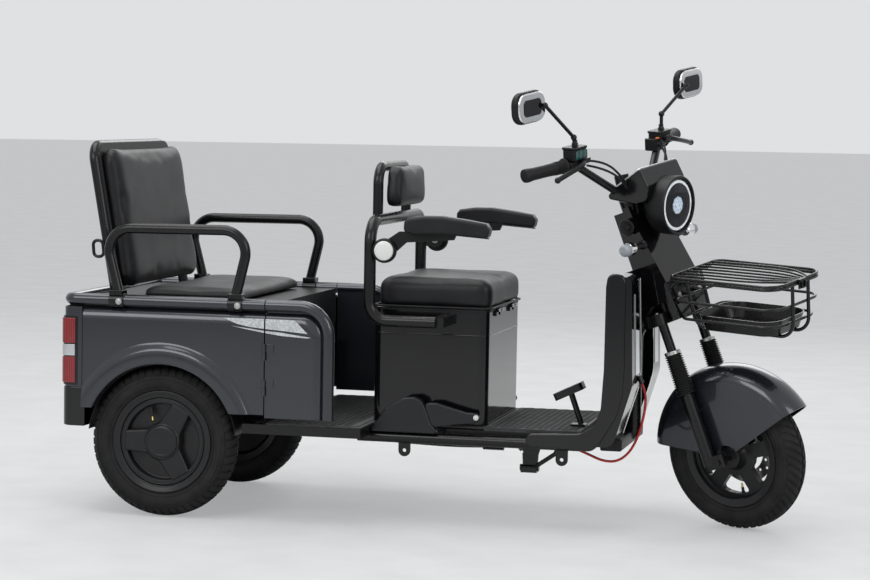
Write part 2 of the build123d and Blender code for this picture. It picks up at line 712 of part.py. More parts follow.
with BuildPart() as tail_panel:
    with BuildSketch(Plane.XY.offset(BODY_LOW + 20)):
        with Locations(((BODY_REAR + TAIL_SEAM) / 2, 0)):
            RectangleRounded(TAIL_SEAM - BODY_REAR, 2 * BODY_HALF, TAIL_CORNER)
    extrude(amount=BODY_TOP - 8 - BODY_LOW - 20)
    with BuildSketch(Plane.XY.offset(BODY_LOW)):
        with Locations(((BODY_REAR + TAIL_SEAM) / 2 + TAIL_WALL, 0)):
            RectangleRounded(TAIL_SEAM - BODY_REAR, 2 * (BODY_HALF - 5), TAIL_CORNER - 4)
    extrude(amount=BODY_TOP, mode=Mode.SUBTRACT)
write(tail_panel, "tail_panel")

with BuildPart() as tail_lamps:
    tail_middle = (BODY_REAR + TAIL_SEAM) / 2
    tail_long = TAIL_SEAM - BODY_REAR
    with BuildSketch(Plane.XY.offset(LAMP_LOW)):
        with Locations((tail_middle, 0)):
            RectangleRounded(tail_long + 2 * LAMP_OUT, 2 * (BODY_HALF + LAMP_OUT), TAIL_CORNER + LAMP_OUT)
            RectangleRounded(
                tail_long + 2 * SEAT_GAP, 2 * (BODY_HALF + SEAT_GAP), TAIL_CORNER + SEAT_GAP, mode=Mode.SUBTRACT
            )
        with Locations((BODY_REAR + LAMP_DEEP + 100, 0)):
            Rectangle(200, 3 * BODY_HALF, mode=Mode.SUBTRACT)
        with Locations((BODY_REAR, 0)):
            Rectangle(200, 2 * LAMP_INNER, mode=Mode.SUBTRACT)
    extrude(amount=LAMP_HIGH)
write(tail_lamps, "tail_lamps")

with BuildPart() as rear_cushion:
    with BuildSketch(Plane.XY.offset(TUB_TOP + SEAT_GAP)):
        with Locations(((BENCH_REAR + BENCH_FRONT) / 2, 0)):
            RectangleRounded(BENCH_FRONT - BENCH_REAR, 2 * BENCH_HALF, 30)
    extrude(amount=BENCH_THICK)
    fillet(rear_cushion.faces().sort_by(Axis.Z)[-1].edges(), 12)
write(rear_cushion, "rear_cushion")

lean_up = Vector(-sin(radians(BACK_LEAN)), 0, cos(radians(BACK_LEAN)))
lean_out = Vector(cos(radians(BACK_LEAN)), 0, sin(radians(BACK_LEAN)))
back_base = Vector(BACK_X, 0, TUB_TOP + SEAT_GAP + BACK_TUBE * lean_out.Z)
with BuildPart() as rear_back_frame:
    with BuildLine() as back_route:
        foot = Vector(0, BACK_HALF, 0)
        FilletPolyline(
            back_base - foot, back_base - foot + lean_up * BACK_HIGH, back_base + foot + lean_up * BACK_HIGH,
            back_base + foot, radius=BACK_BEND,
        )
    with BuildSketch(Plane(origin=back_route.line @ 0, z_dir=back_route.line % 0)):
        Circle(BACK_TUBE)
    sweep()
write(rear_back_frame, "rear_back_frame")

back_plane = Plane(origin=back_base, x_dir=(0, 1, 0), z_dir=lean_out)
with BuildPart() as rear_back_pad:
    with BuildSketch(back_plane.offset(BACK_TUBE + SEAT_GAP)):
        with Locations((0, BACK_PAD_LOW + BACK_PAD_HIGH / 2)):
            RectangleRounded(2 * (BACK_HALF + 12), BACK_PAD_HIGH, BACK_BEND)
    extrude(amount=BACK_PAD_DEEP)
    fillet(rear_back_pad.faces().sort_by(Axis.X)[-1].edges(), 18)
write(rear_back_pad, "rear_back_pad")

with BuildPart() as grab_hoops:
    for side in SIDES.values():
        y = side * RAIL_Y
        bend_tube(
            ((-128, y, BODY_TOP + 6), (-174, y, 783), (248, y, 786), (206, y, BODY_TOP + 6)),
            14, (62, 62),
        )
        for x in (-128, 206):
            with Locations((x, y, BODY_TOP + SEAT_GAP + 4)):
                Box(34, 38, 8)
write(grab_hoops, "grab_hoops")

AXLE_TUBE = 26
ARM_Y = 150
SHOCK_Y = TRACK / 2 - TYRE_HALF - 35
with BuildPart() as rear_axle:
    with BuildSketch(Plane(origin=(0, 0, TYRE_RADIUS), x_dir=(1, 0, 0), z_dir=(0, 1, 0))):
        Circle(AXLE_TUBE)
    extrude(amount=TRACK / 2 - RIM_HALF - HUB_INSET - SEAT_GAP, both=True)
    with BuildSketch(Plane(origin=(0, -60, TYRE_RADIUS), x_dir=(1, 0, 0), z_dir=(0, 1, 0))):
        Circle(88)
    extrude(amount=150)
write(rear_axle, "rear_axle")

with BuildPart() as rear_suspension:
    for side in SIDES.values():
        # clamps round the axle tube, each with its trailing arm or shock
        for y in (ARM_Y, SHOCK_Y):
            with BuildSketch(Plane(origin=(0, side * y, TYRE_RADIUS), x_dir=(1, 0, 0), z_dir=(0, 1, 0))):
                Circle(AXLE_TUBE + 8)
                Circle(AXLE_TUBE + SEAT_GAP, mode=Mode.SUBTRACT)
            extrude(amount=18, both=True)
        arm_end = 230 - SEAT_GAP - 14 * sin(radians(12.4))
        bend_tube(((AXLE_TUBE + 5, side * ARM_Y, TYRE_RADIUS + 2), (arm_end, side * ARM_Y, SILL_TOP - 18)), 14)
        bend_tube(((-4, side * SHOCK_Y, TYRE_RADIUS + AXLE_TUBE + 5), (-26, side * SHOCK_Y, TUB_FLOOR - 8)), 20)
        with Locations((-26, side * SHOCK_Y, TUB_FLOOR - SEAT_GAP - 6)):
            Cylinder(24, 12)
write(rear_suspension, "rear_suspension")

# Steered front end, modelled straight ahead

FENDER_CENTRE = Vector(WHEELBASE + 22, 0, 212)
FENDER_RADIUS = 250
FENDER_HALF = 61
FENDER_FRONT = 38
FENDER_SWEEP = 140
FENDER_SKIRT = 34
SHOULDER_DROP = 42
with BuildPart() as fork:
    for side in SIDES.values():
        with BuildSketch(head_plane(-30)):
            with Locations((LEG_AHEAD, side * LEG_HALF)):
                Circle(18)
        extrude(amount=200)
        with BuildSketch(head_plane(160)):
            with Locations((LEG_AHEAD, side * LEG_HALF)):
                Circle(13)
        extrude(amount=230)
        with BuildSketch(head_plane(-42)):
            with Locations((TRAIL_AHEAD - 10, side * LEG_HALF)):
                RectangleRounded(56, 20, 6)
        extrude(amount=36)
        # lug that carries the fender
        lug_foot = head_point(120, LEG_AHEAD, side * (FENDER_HALF + SEAT_GAP))
        with BuildSketch(Plane(origin=lug_foot, x_dir=(1, 0, 0), z_dir=(0, side, 0))):
            Circle(9)
        extrude(amount=LEG_HALF - FENDER_HALF - 8)
    with BuildSketch(head_plane(HEAD_LOW - 30)):
        with Locations((20, 0)):
            RectangleRounded(70, 2 * LEG_HALF + 44, 18)
    extrude(amount=30 - SEAT_GAP)
    # tongue that carries the front cover
    with BuildSketch(head_plane(HEAD_LOW - 24)):
        with Locations((LEG_AHEAD + 19, 0)):
            Rectangle(14.6, 60)
    extrude(amount=18)
    with BuildSketch(head_plane(HEAD_LOW - 20)):
        Circle(STEM)
    extrude(amount=HEAD_HIGH - HEAD_LOW + 20)
    with BuildSketch(Plane(origin=FRONT_AXLE, x_dir=(1, 0, 0), z_dir=(0, 1, 0))):
        Circle(8)
    extrude(amount=LEG_HALF + 14, both=True)
write(fork, "fork", TO_PARKED)

with BuildPart() as fork_gaiters:
    for side in SIDES.values():
        axis_point = head_point(0, LEG_AHEAD, side * LEG_HALF)
        with BuildSketch(Plane(origin=axis_point, x_dir=AHEAD, z_dir=(0, -1, 0))):
            with BuildLine():
                ridges = [(13.5 + (11 if turn % 2 else 6), 173 + turn * 10) for turn in range(12)]
                Polyline((13.5, 173), *ridges, (13.5, 283), close=True)
            make_face()
        revolve(axis=Axis(axis_point, UP_AXIS))
write(fork_gaiters, "fork_gaiters", TO_PARKED)

with BuildPart() as front_fender:
    outset = Vector(cos(radians(FENDER_FRONT)), 0, sin(radians(FENDER_FRONT)))
    with BuildSketch(Plane(origin=FENDER_CENTRE, x_dir=outset, z_dir=Vector(0, 1, 0).cross(outset) * -1)):
        for half, radius, low, mode in (
            (FENDER_HALF, FENDER_RADIUS, FENDER_SKIRT, Mode.ADD),
            (FENDER_HALF - SKIN, FENDER_RADIUS - SKIN, 0, Mode.SUBTRACT),
        ):
            with BuildLine():
                Polyline(
                    (radius - SHOULDER_DROP, -half), (low, -half), (low, half), (radius - SHOULDER_DROP, half),
                )
                ThreePointArc((radius - SHOULDER_DROP, half), (radius, 0), (radius - SHOULDER_DROP, -half))
            make_face(mode=mode)
    revolve(axis=Axis(FENDER_CENTRE, (0, -1, 0)), revolution_arc=FENDER_SWEEP)
write(front_fender, "front_fender", TO_PARKED)

COVER_HALF = 78
COVER_FOOT = (92, 372)
COVER_KNEE = (88, 469)
CHEEK_BACK = -6
CHEEK_LOW = 425
CHEEK_HIGH = 690
CHEEK_THICK = 8


def cover_front(up):
    """How far ahead of the steering axis the front cover's lower face is."""
    slope = (COVER_KNEE[0] - COVER_FOOT[0]) / (COVER_KNEE[1] - COVER_FOOT[1])
    return COVER_FOOT[0] + slope * (up - COVER_FOOT[1])


with BuildPart() as front_cover:
    with BuildSketch(Plane(origin=AXIS_FOOT, x_dir=AHEAD, z_dir=(0, -1, 0))):
        with BuildLine():
            # ahead of the axis, up it
            Polyline(
                COVER_FOOT, COVER_KNEE, (53, 640), (47, 700), (30, 700), (36, 640), (60, 469), (66, 372), close=True,
            )
        make_face()
    extrude(amount=COVER_HALF, both=True)
    # cheeks that run back beside the steering column
    for side in SIDES.values():
        with BuildSketch(Plane(origin=AXIS_FOOT + Vector(0, side * COVER_HALF, 0), x_dir=AHEAD, z_dir=(0, -1, 0))):
            with BuildLine():
                Polyline(
                    (CHEEK_BACK, CHEEK_LOW), (70, CHEEK_LOW), (66, 469), (42, 640), (36, CHEEK_HIGH),
                    (CHEEK_BACK, CHEEK_HIGH), close=True,
                )
            make_face()
        extrude(amount=side * CHEEK_THICK)
write(front_cover, "front_cover", TO_PARKED)

LAMP = Vector(1370, 0, 879)
LAMP_RADIUS = 80
LAMP_LENS = 72.5
LAMP_LENS_THICK = 10
with BuildPart() as headlight:
    with BuildSketch(Plane(origin=LAMP, x_dir=(1, 0, 0), z_dir=(0, -1, 0))):
        with BuildLine():
            # behind the lens, out from the lamp's middle
            Polyline(
                (-12, 0), (-12, LAMP_LENS + 0.5), (2, LAMP_LENS + 0.5), (2, LAMP_RADIUS), (-55, LAMP_RADIUS),
                (-92, LAMP_RADIUS / 2), (-92, 0), close=True,
            )
        make_face()
    revolve(axis=Axis(LAMP, (1, 0, 0)))
write(headlight, "headlight", TO_PARKED)

with BuildPart() as headlight_lens:
    with BuildSketch(Plane(origin=LAMP - Vector(11.7, 0, 0), x_dir=(0, 1, 0), z_dir=(1, 0, 0))):
        Circle(LAMP_LENS)
    extrude(amount=LAMP_LENS_THICK)
write(headlight_lens, "headlight_lens", TO_PARKED)

SIGNAL_X = 1303
SIGNAL_Z = 780
SIGNAL_INNER = 126
SIGNAL_LONG = 50
with BuildPart() as turn_signals:
    for side in SIDES.values():
        for inner, radius, reach in (
            (COVER_HALF + SEAT_GAP, 9, SIGNAL_INNER - COVER_HALF), (SIGNAL_INNER, 18, SIGNAL_LONG),
        ):
            with BuildSketch(
                Plane(origin=(SIGNAL_X, side * inner, SIGNAL_Z), x_dir=(1, 0, 0), z_dir=(0, side, 0))
            ):
                Circle(radius)
            extrude(amount=reach)
write(turn_signals, "turn_signals", TO_PARKED)

BAR = 11
COLUMN_TOP = 761
with BuildPart() as handlebar:
    grip_end = Vector(1128, -362, 1003)
    rise = Vector(1176, -205, 1012)
    low = Vector(1232, -60, 905)
    bend_tube(
        (
            tuple(grip_end), tuple(rise), tuple(low), (low.X, -low.Y, low.Z), (rise.X, -rise.Y, rise.Z),
            (grip_end.X, -grip_end.Y, grip_end.Z),
        ),
        BAR, (50, 40, 40, 50),
    )
    with BuildSketch(head_plane(HEAD_HIGH + SEAT_GAP)):
        Circle(26)
    extrude(amount=COLUMN_TOP - HEAD_HIGH - SEAT_GAP)
write(handlebar, "handlebar", TO_PARKED)

PERCH_HIGH = 38
bar_run = (grip_end - rise).normalized()
with BuildPart() as grips:
    for side in SIDES.values():
        start = rise + bar_run * 32
        start = Vector(start.X, side * -start.Y, start.Z)
        run = Vector(bar_run.X, side * -bar_run.Y, bar_run.Z)
        with BuildSketch(Plane(origin=start, z_dir=run)):
            Circle(17)
            Circle(BAR + SEAT_GAP, mode=Mode.SUBTRACT)
        extrude(amount=135)
write(grips, "grips", TO_PARKED)

with BuildPart() as controls:
    for side in SIDES.values():
        with Locations((rise.X + 4, side * -rise.Y, rise.Z + BAR + SEAT_GAP + PERCH_HIGH / 2)):
            Box(44, 56, PERCH_HIGH)
        bend_tube(
            (
                (rise.X + 12, side * (-rise.Y - 20), rise.Z + 22), (rise.X + 44, side * (-rise.Y + 6), rise.Z + 10),
                (rise.X + 26, side * (-rise.Y + 130), rise.Z - 20),
            ),
            6, 24,
        )
write(controls, "controls", TO_PARKED)

DISPLAY = (1262, 0, 972)
DISPLAY_FACE = (-0.42, 0, 0.907)
DISPLAY_WIDE = 180
DISPLAY_LONG = 210
DISPLAY_THICK = 12
with BuildPart() as display:
    with BuildSketch(Plane(origin=DISPLAY, x_dir=(0, 1, 0), z_dir=DISPLAY_FACE)):
        RectangleRounded(DISPLAY_WIDE, DISPLAY_LONG, 24)
    extrude(amount=DISPLAY_THICK / 2, both=True)
    with BuildSketch(head_plane(COLUMN_TOP + SEAT_GAP)):
        Circle(18)
    extrude(amount=16)
write(display, "display", TO_PARKED)

# each mirror is set by hand to its own height
MIRROR_Z = {"right": 1190, "left": 1148}
MIRROR_RISE = 24
MIRROR_WIDE = 124
MIRROR_HIGH = 84
MIRROR_THICK = 28
with BuildPart() as mirrors:
    for name, side in SIDES.items():
        base = Vector(rise.X + 8, side * 208, rise.Z + BAR + PERCH_HIGH + 2 * SEAT_GAP + 1.2)
        elbow = base + Vector(0, side * 4, MIRROR_RISE)
        joint = Vector(1166, side * 330, MIRROR_Z[name])
        bend_tube((tuple(base), tuple(elbow), tuple(joint)), 5, 20)
        with BuildSketch(Plane(origin=joint + Vector(-2, side * 52, 0), x_dir=(0, 1, 0), z_dir=(-1, 0, 0))):
            RectangleRounded(MIRROR_WIDE, MIRROR_HIGH, MIRROR_HIGH / 2 - 8)
        extrude(amount=MIRROR_THICK / 2, both=True)
write(mirrors, "mirrors", TO_PARKED)

basket_rear = 1405
basket_front = 1738
basket_half = 124
basket_top = 701
basket_low = 561
ring_wire = 4
hoop_wire = 4.8
lid_wire = 3
lid_rim_wire = 3.8
basket_rings = (
    # height, rear edge, growth of the front and sides
    (basket_top, basket_rear, 0),
    (646, basket_rear + 14, -4),
    (598, basket_rear + 28, -12),
)


def wire_ring(rear_x, front_x, half, z, radius):
    """A closed wire with rounded corners, wider curves at its front, started behind its middle."""
    bend_tube(
        (
            (rear_x, 0, z), (rear_x, -half, z), (front_x, -half, z),
            (front_x, half, z), (rear_x, half, z), (rear_x, 2, z),
        ),
        radius, (30, 50, 50, 30),
    )
    bend_tube(((rear_x, -3, z), (rear_x, 5, z)), radius)


with BuildPart() as basket:
    for z, rear_x, grow in basket_rings:
        wire_ring(rear_x, basket_front + grow, basket_half + grow, z, ring_wire)
    for y in (-40, 40):
        bend_tube(
            (
                (basket_front, y, basket_top), (basket_front, y, basket_low),
                (basket_rear + 36, y, basket_low), (basket_rear, y, basket_top),
            ),
            hoop_wire, (40, 40),
        )
    # plate on the front cover with two stays
    with BuildSketch(Plane(origin=AXIS_FOOT, x_dir=AHEAD, z_dir=(0, -1, 0))):
        with BuildLine():
            plate_low = cover_front(410) + SEAT_GAP
            plate_high = cover_front(455) + SEAT_GAP
            Polyline((plate_low, 410), (plate_low + 4, 410), (plate_high + 4, 455), (plate_high, 455), close=True)
        make_face()
    extrude(amount=62, both=True)
    stay_foot = head_point(437, cover_front(437) + 2, 0)
    for y in (-25, 25):
        bend_tube(((stay_foot.X + 1, y, stay_foot.Z), (basket_rear + 14, y, 646)), 6)
write(basket, "basket", TO_PARKED)

tray_low = basket_low + hoop_wire + SEAT_GAP
tray_middle = (basket_rear + basket_front) / 2 + 17
with BuildPart() as basket_tray:
    for lift, shrink, mode in ((0, 0, Mode.ADD), (2, 2, Mode.SUBTRACT)):
        with BuildSketch(Plane.XY.offset(tray_low + lift)):
            with Locations((tray_middle, 0)):
                RectangleRounded(224 - 2 * shrink, 168 - 2 * shrink, 40 - shrink)
        extrude(amount=42, taper=-18, mode=mode)
write(basket_tray, "basket_tray", TO_PARKED)

lid_z = basket_top + ring_wire + lid_rim_wire + SEAT_GAP
with BuildPart() as basket_lid:
    wire_ring(basket_rear + 2, basket_front, basket_half, lid_z, lid_rim_wire)
    for y in (-80, -48, -16, 16, 48, 80):
        bend_tube(((basket_rear + 2, y, lid_z), (basket_front, y, lid_z)), lid_wire)
    # eyes round the rim's rear wire
    for y in (-64, 64):
        with BuildSketch(Plane(origin=(basket_rear, y, basket_top), x_dir=(1, 0, 0), z_dir=(0, -1, 0))):
            Circle(ring_wire + 5)
            Circle(ring_wire + 0.5, mode=Mode.SUBTRACT)
        extrude(amount=6, both=True)
write(basket_lid, "basket_lid", TO_PARKED)
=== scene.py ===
import json
from math import cos, pi, radians, sin, tan, tau

import bpy
from bpy.props import FloatProperty, FloatVectorProperty, IntProperty, PointerProperty
from mathutils import Matrix, Vector


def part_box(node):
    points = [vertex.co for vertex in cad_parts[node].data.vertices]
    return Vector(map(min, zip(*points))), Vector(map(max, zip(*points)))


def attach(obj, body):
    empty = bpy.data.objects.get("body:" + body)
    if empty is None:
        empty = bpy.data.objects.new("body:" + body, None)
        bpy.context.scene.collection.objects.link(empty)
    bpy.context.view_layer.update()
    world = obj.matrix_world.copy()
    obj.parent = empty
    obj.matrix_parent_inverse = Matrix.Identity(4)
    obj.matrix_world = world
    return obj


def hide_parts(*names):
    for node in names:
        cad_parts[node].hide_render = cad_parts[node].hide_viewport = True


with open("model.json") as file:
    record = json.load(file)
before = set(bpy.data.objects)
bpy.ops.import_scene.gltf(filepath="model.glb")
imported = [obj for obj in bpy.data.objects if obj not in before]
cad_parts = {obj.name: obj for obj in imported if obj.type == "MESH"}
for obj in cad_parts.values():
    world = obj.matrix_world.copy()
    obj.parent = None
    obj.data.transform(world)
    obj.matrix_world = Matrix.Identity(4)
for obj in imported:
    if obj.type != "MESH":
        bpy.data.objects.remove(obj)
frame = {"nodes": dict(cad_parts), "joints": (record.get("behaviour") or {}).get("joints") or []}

bl_info = {
    "name": "Electric Tricycle",
    "version": (1, 0, 0),
    "blender": (4, 5, 0),
    "location": "3D View > Sidebar > Tricycle",
    "description": "Skins, soft parts, fittings and finishes of an electric tricycle round its packed parts",
    "category": "Object",
}

MM = 0.001
SIDES = {"right": -1, "left": 1}
FORWARD = Vector((1, 0, 0))
LEFT = Vector((0, 1, 0))
UPWARD = Vector((0, 0, 1))
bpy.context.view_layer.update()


def middle(node):
    """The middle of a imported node's box."""
    low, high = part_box(node)
    return (low + high) / 2


REAR_AXLE = (middle("tyre_rear_right") + middle("tyre_rear_left")) / 2


def mm(x, y, z):
    """A step given in millimetres forward, left and up."""
    return Vector((x, y, z)) * MM


def at(x, y, z):
    """A place given in millimetres ahead of the rear axle, left of the middle and above the ground."""
    return Vector((REAR_AXLE.x + x * MM, REAR_AXLE.y + y * MM, z * MM))


# The steered front end is given straight ahead, then turned to its parked place about the steering axis.
STEERING = next(joint for joint in frame["joints"] if joint["name"] == "steering_turn")
FOOT = Vector(STEERING["pos_m"])
UP = Vector(STEERING["axis"])
AHEAD = Vector((UP.z, 0, -UP.x))
STRAIGHT = radians(sum(STEERING["range_deg"]) / 2)
TO_PARKED = Matrix.Translation(FOOT) @ Matrix.Rotation(-STRAIGHT, 4, UP) @ Matrix.Translation(-FOOT)
STEERED = ("steering", "basket_lid", "wheel_front")
WHEELBASE = 1530
FRONT_AXLE = at(WHEELBASE, 0, FOOT.z / MM)


def head(up, ahead, left):
    """A place on the front end by its distance up the steering axis, ahead of it and to the left."""
    return FOOT + UP * up * MM + AHEAD * ahead * MM + Vector((0, left * MM, 0))


class TricycleSettings(bpy.types.PropertyGroup):
    """Sizes and colours that a user would change"""

    paint: FloatVectorProperty(
        name="Paint", description="Metallic colour of the body", subtype="COLOR", default=(0.024, 0.027, 0.034),
        min=0, max=1,
    )
    vinyl: FloatVectorProperty(
        name="Vinyl", description="Colour of the seats", subtype="COLOR", default=(0.0058, 0.006, 0.0072),
        min=0, max=1,
    )
    stripe: FloatVectorProperty(
        name="Stripe", description="Colour of the side stripe", subtype="COLOR", default=(0.55, 0.57, 0.58),
        min=0, max=1,
    )
    floor: FloatVectorProperty(
        name="Floor", description="Colour of the studio floor", subtype="COLOR", default=(0.72, 0.72, 0.71),
        min=0, max=1,
    )
    lugs: IntProperty(name="Tread blocks", description="Tread blocks round each side of a tyre", default=54, min=12)
    lug_depth: FloatProperty(
        name="Tread depth", description="Height of the tread blocks in millimetres", default=2.6, min=0.5,
    )
    voxel: FloatProperty(
        name="Cloth grid", description="Grid of the cushions' cloth in millimetres", default=7.5, min=3,
    )


# Modelling steps

def deselect():
    """Leave edit mode with nothing selected."""
    if bpy.context.mode != "OBJECT":
        bpy.ops.object.mode_set(mode="OBJECT")
    bpy.ops.object.select_all(action="DESELECT")


def choose(piece):
    """Select one piece alone and make it active."""
    deselect()
    piece.select_set(True)
    bpy.context.view_layer.objects.active = piece


def edit(piece):
    """Open a piece for editing with all of it selected."""
    choose(piece)
    bpy.ops.object.mode_set(mode="EDIT")
    bpy.ops.mesh.select_all(action="SELECT")


def apply(piece, kind, **settings):
    """Give a piece a modifier with its settings and apply it."""
    choose(piece)
    modifier = piece.modifiers.new(kind.lower(), kind)
    for key, value in settings.items():
        setattr(modifier, key, value)
    bpy.ops.object.modifier_apply(modifier=modifier.name)


def join(name, pieces):
    """Make several pieces one."""
    deselect()
    for piece in pieces:
        piece.select_set(True)
    bpy.context.view_layer.objects.active = pieces[0]
    bpy.ops.object.join()
    pieces[0].name = name
    return pieces[0]


def outline(name, points, closed=True):
    """A wire through the points, shaped from a circle with as many corners."""
    deselect()
    bpy.ops.mesh.primitive_circle_add(vertices=len(points), location=(0, 0, 0))
    wire = bpy.context.object
    wire.name = name
    for corner, point in zip(wire.data.vertices, points):
        corner.co = point
    if not closed:
        edit(wire)
        bpy.ops.mesh.select_all(action="DESELECT")
        bpy.ops.object.mode_set(mode="OBJECT")
        wire.data.vertices[0].select = True
        wire.data.vertices[-1].select = True
        bpy.ops.object.mode_set(mode="EDIT")
        bpy.ops.mesh.delete(type="EDGE")
        bpy.ops.object.mode_set(mode="OBJECT")
    return wire


def face_out(piece, direction):
    """Turn an open sheet's faces to one side."""
    lean = sum(face.area * face.normal.dot(direction) for face in piece.data.polygons)
    if lean < 0:
        edit(piece)
        bpy.ops.mesh.flip_normals()
        bpy.ops.object.mode_set(mode="OBJECT")


def plate(name, points, depth):
    """A flat outline filled and drawn out by a vector."""
    piece = outline(name, points)
    edit(piece)
    bpy.ops.mesh.edge_face_add()
    bpy.ops.mesh.extrude_region_move(TRANSFORM_OT_translate={"value": depth})
    bpy.ops.mesh.select_all(action="SELECT")
    bpy.ops.mesh.normals_make_consistent(inside=False)
    bpy.ops.object.mode_set(mode="OBJECT")
    return piece


def spun(name, points, centre, axis, steps=64, sweep=tau, closed=False):
    """Spin a wire round an axis and close the seam."""
    piece = outline(name, points, closed)
    edit(piece)
    bpy.ops.mesh.spin(steps=steps, angle=sweep, center=centre, axis=axis)
    bpy.ops.mesh.select_all(action="SELECT")
    bpy.ops.mesh.remove_doubles(threshold=0.02 * MM)
    bpy.ops.mesh.normals_make_consistent(inside=False)
    bpy.ops.object.mode_set(mode="OBJECT")
    return piece


def turned(name, place, direction, profile, steps=48, closed=False):
    """Turn a profile of radius and distance along a direction about the line through a place."""
    along = direction.normalized()
    out = along.orthogonal().normalized()
    points = [place + out * radius * MM + along * reach * MM for radius, reach in profile]
    return spun(name, points, place, along, steps, closed=closed)


def draped(name, rows):
    """A sheet over rows of points, shaped from a grid with as many corners."""
    deselect()
    bpy.ops.mesh.primitive_grid_add(x_subdivisions=len(rows[0]) - 1, y_subdivisions=len(rows) - 1, location=(0, 0, 0))
    sheet = bpy.context.object
    sheet.name = name
    points = [point for row in rows for point in row]
    for corner, point in zip(sheet.data.vertices, points):
        corner.co = point
    return sheet


def block(name, centre, size, turn=Matrix.Identity(4)):
    """A block of a size in millimetres about a place, turned if given."""
    deselect()
    bpy.ops.mesh.primitive_cube_add(size=1, location=(0, 0, 0))
    piece = bpy.context.object
    piece.name = name
    scale = Matrix.Diagonal((*[side * MM for side in size], 1))
    piece.data.transform(Matrix.Translation(centre) @ turn @ scale)
    return piece


def rounded(points, bend, closed=False, steps=7):
    """The points of straight runs joined by arcs of a radius, or of one radius for each corner, in millimetres."""
    count = len(points)
    corners = range(count) if closed else range(1, count - 1)
    bends = list(bend) if hasattr(bend, "__len__") else [bend] * len(corners)
    run = [] if closed else [points[0]]
    for corner, radius in zip(corners, bends):
        here = points[corner]
        back = points[corner - 1] - here
        on = points[(corner + 1) % count] - here
        half = back.angle(on) / 2
        reach = min(radius * MM / tan(half), 0.49 * back.length, 0.49 * on.length)
        if reach < 1e-6:
            run.append(here)
            continue
        centre = here + (back.normalized() + on.normalized()).normalized() * reach / cos(half)
        first = here + back.normalized() * reach - centre
        last = here + on.normalized() * reach - centre
        swing = first.angle(last)
        for step in range(steps + 1):
            share = step / steps
            run.append(centre + (first * sin((1 - share) * swing) + last * sin(share * swing)) / sin(swing))
    return run if closed else run + [points[-1]]


def tube(name, points, radius, bend=0, closed=False, smooth=4):
    """A round tube or wire along runs joined by arcs."""
    deselect()
    bpy.ops.curve.primitive_nurbs_path_add(location=(0, 0, 0))
    wire = bpy.context.object
    wire.name = name
    wire.data.splines.clear()
    spline = wire.data.splines.new("POLY")
    run = rounded(points, bend, closed)
    spline.points.add(len(run) - 1)
    for corner, point in zip(spline.points, run):
        corner.co = (*point, 1)
    spline.use_cyclic_u = closed
    wire.data.bevel_depth = radius * MM
    wire.data.bevel_resolution = smooth
    wire.data.use_fill_caps = not closed
    bpy.ops.object.convert(target="MESH")
    return bpy.context.object


def cable(name, points, radius):
    """A thin cable held at both ends, on one smooth curve near its points."""
    deselect()
    bpy.ops.curve.primitive_nurbs_path_add(location=(0, 0, 0))
    line = bpy.context.object
    line.name = name
    line.data.splines.clear()
    spline = line.data.splines.new("NURBS")
    spline.points.add(len(points) - 1)
    for corner, point in zip(spline.points, points):
        corner.co = (*point, 1)
    spline.order_u = 3
    spline.use_endpoint_u = True
    spline.resolution_u = 6
    line.data.bevel_depth = radius * MM
    line.data.bevel_resolution = 3
    line.data.use_fill_caps = True
    bpy.ops.object.convert(target="MESH")
    return bpy.context.object


def ball(name, centre, radius):
    """A ball turned from a half circle."""
    half = [(radius * sin(step * pi / 10), -radius * cos(step * pi / 10)) for step in range(11)]
    return turned(name, centre, UPWARD, half, steps=20)


def bolt(name, place, direction, radius):
    """A domed bolt head on its washer."""
    return turned(
        name, place, direction,
        [
            (0, -1), (radius * 1.45, -1), (radius * 1.45, 1), (radius, 1.2), (radius, radius * 0.6),
            (radius * 0.8, radius * 0.85), (0, radius),
        ],
        steps=20,
    )


def panel(name, centre, size, corner, across, upward, thick):
    """A plate with round corners about a place, given its width and height directions and its thickness."""
    wide = across * size[0] / 2 * MM
    high = upward * size[1] / 2 * MM
    corners = [centre - wide - high, centre + wide - high, centre + wide + high, centre - wide + high]
    return plate(name, rounded(corners, corner, closed=True, steps=6), across.cross(upward) * thick * MM)


def soften(piece, width, segments, sharp):
    """Bevel a piece's sharp edges, by a width in millimetres and the least angle in degrees."""
    apply(piece, "BEVEL", width=width * MM, segments=segments, limit_method="ANGLE", angle_limit=radians(sharp))


def cut(piece, tool):
    """Cut one closed piece out of another."""
    apply(piece, "BOOLEAN", object=tool, operation="DIFFERENCE", solver="EXACT")
    bpy.data.objects.remove(tool)


def finished(piece, body, finish, replaces=(), bevel=0, segments=2, sharp=35):
    """Set a steered piece to its parked place, bevel, shade and paint it, and fix it to its body."""
    if body in STEERED:
        piece.data.transform(TO_PARKED)
    if bevel:
        soften(piece, bevel, segments, sharp)
    choose(piece)
    bpy.ops.object.shade_smooth_by_angle(angle=radians(sharp))
    apply(piece, "WEIGHTED_NORMAL", keep_sharp=True)
    piece.data.materials.clear()
    piece.data.materials.append(SURFACES[finish])
    piece.data.name = piece.name
    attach(piece, body)
    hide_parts(*replaces)
    return piece


# Surfaces

SURFACES = {}
NOISE = "ShaderNodeTexNoise"
CELLS = "ShaderNodeTexVoronoi"
WAVES = "ShaderNodeTexWave"


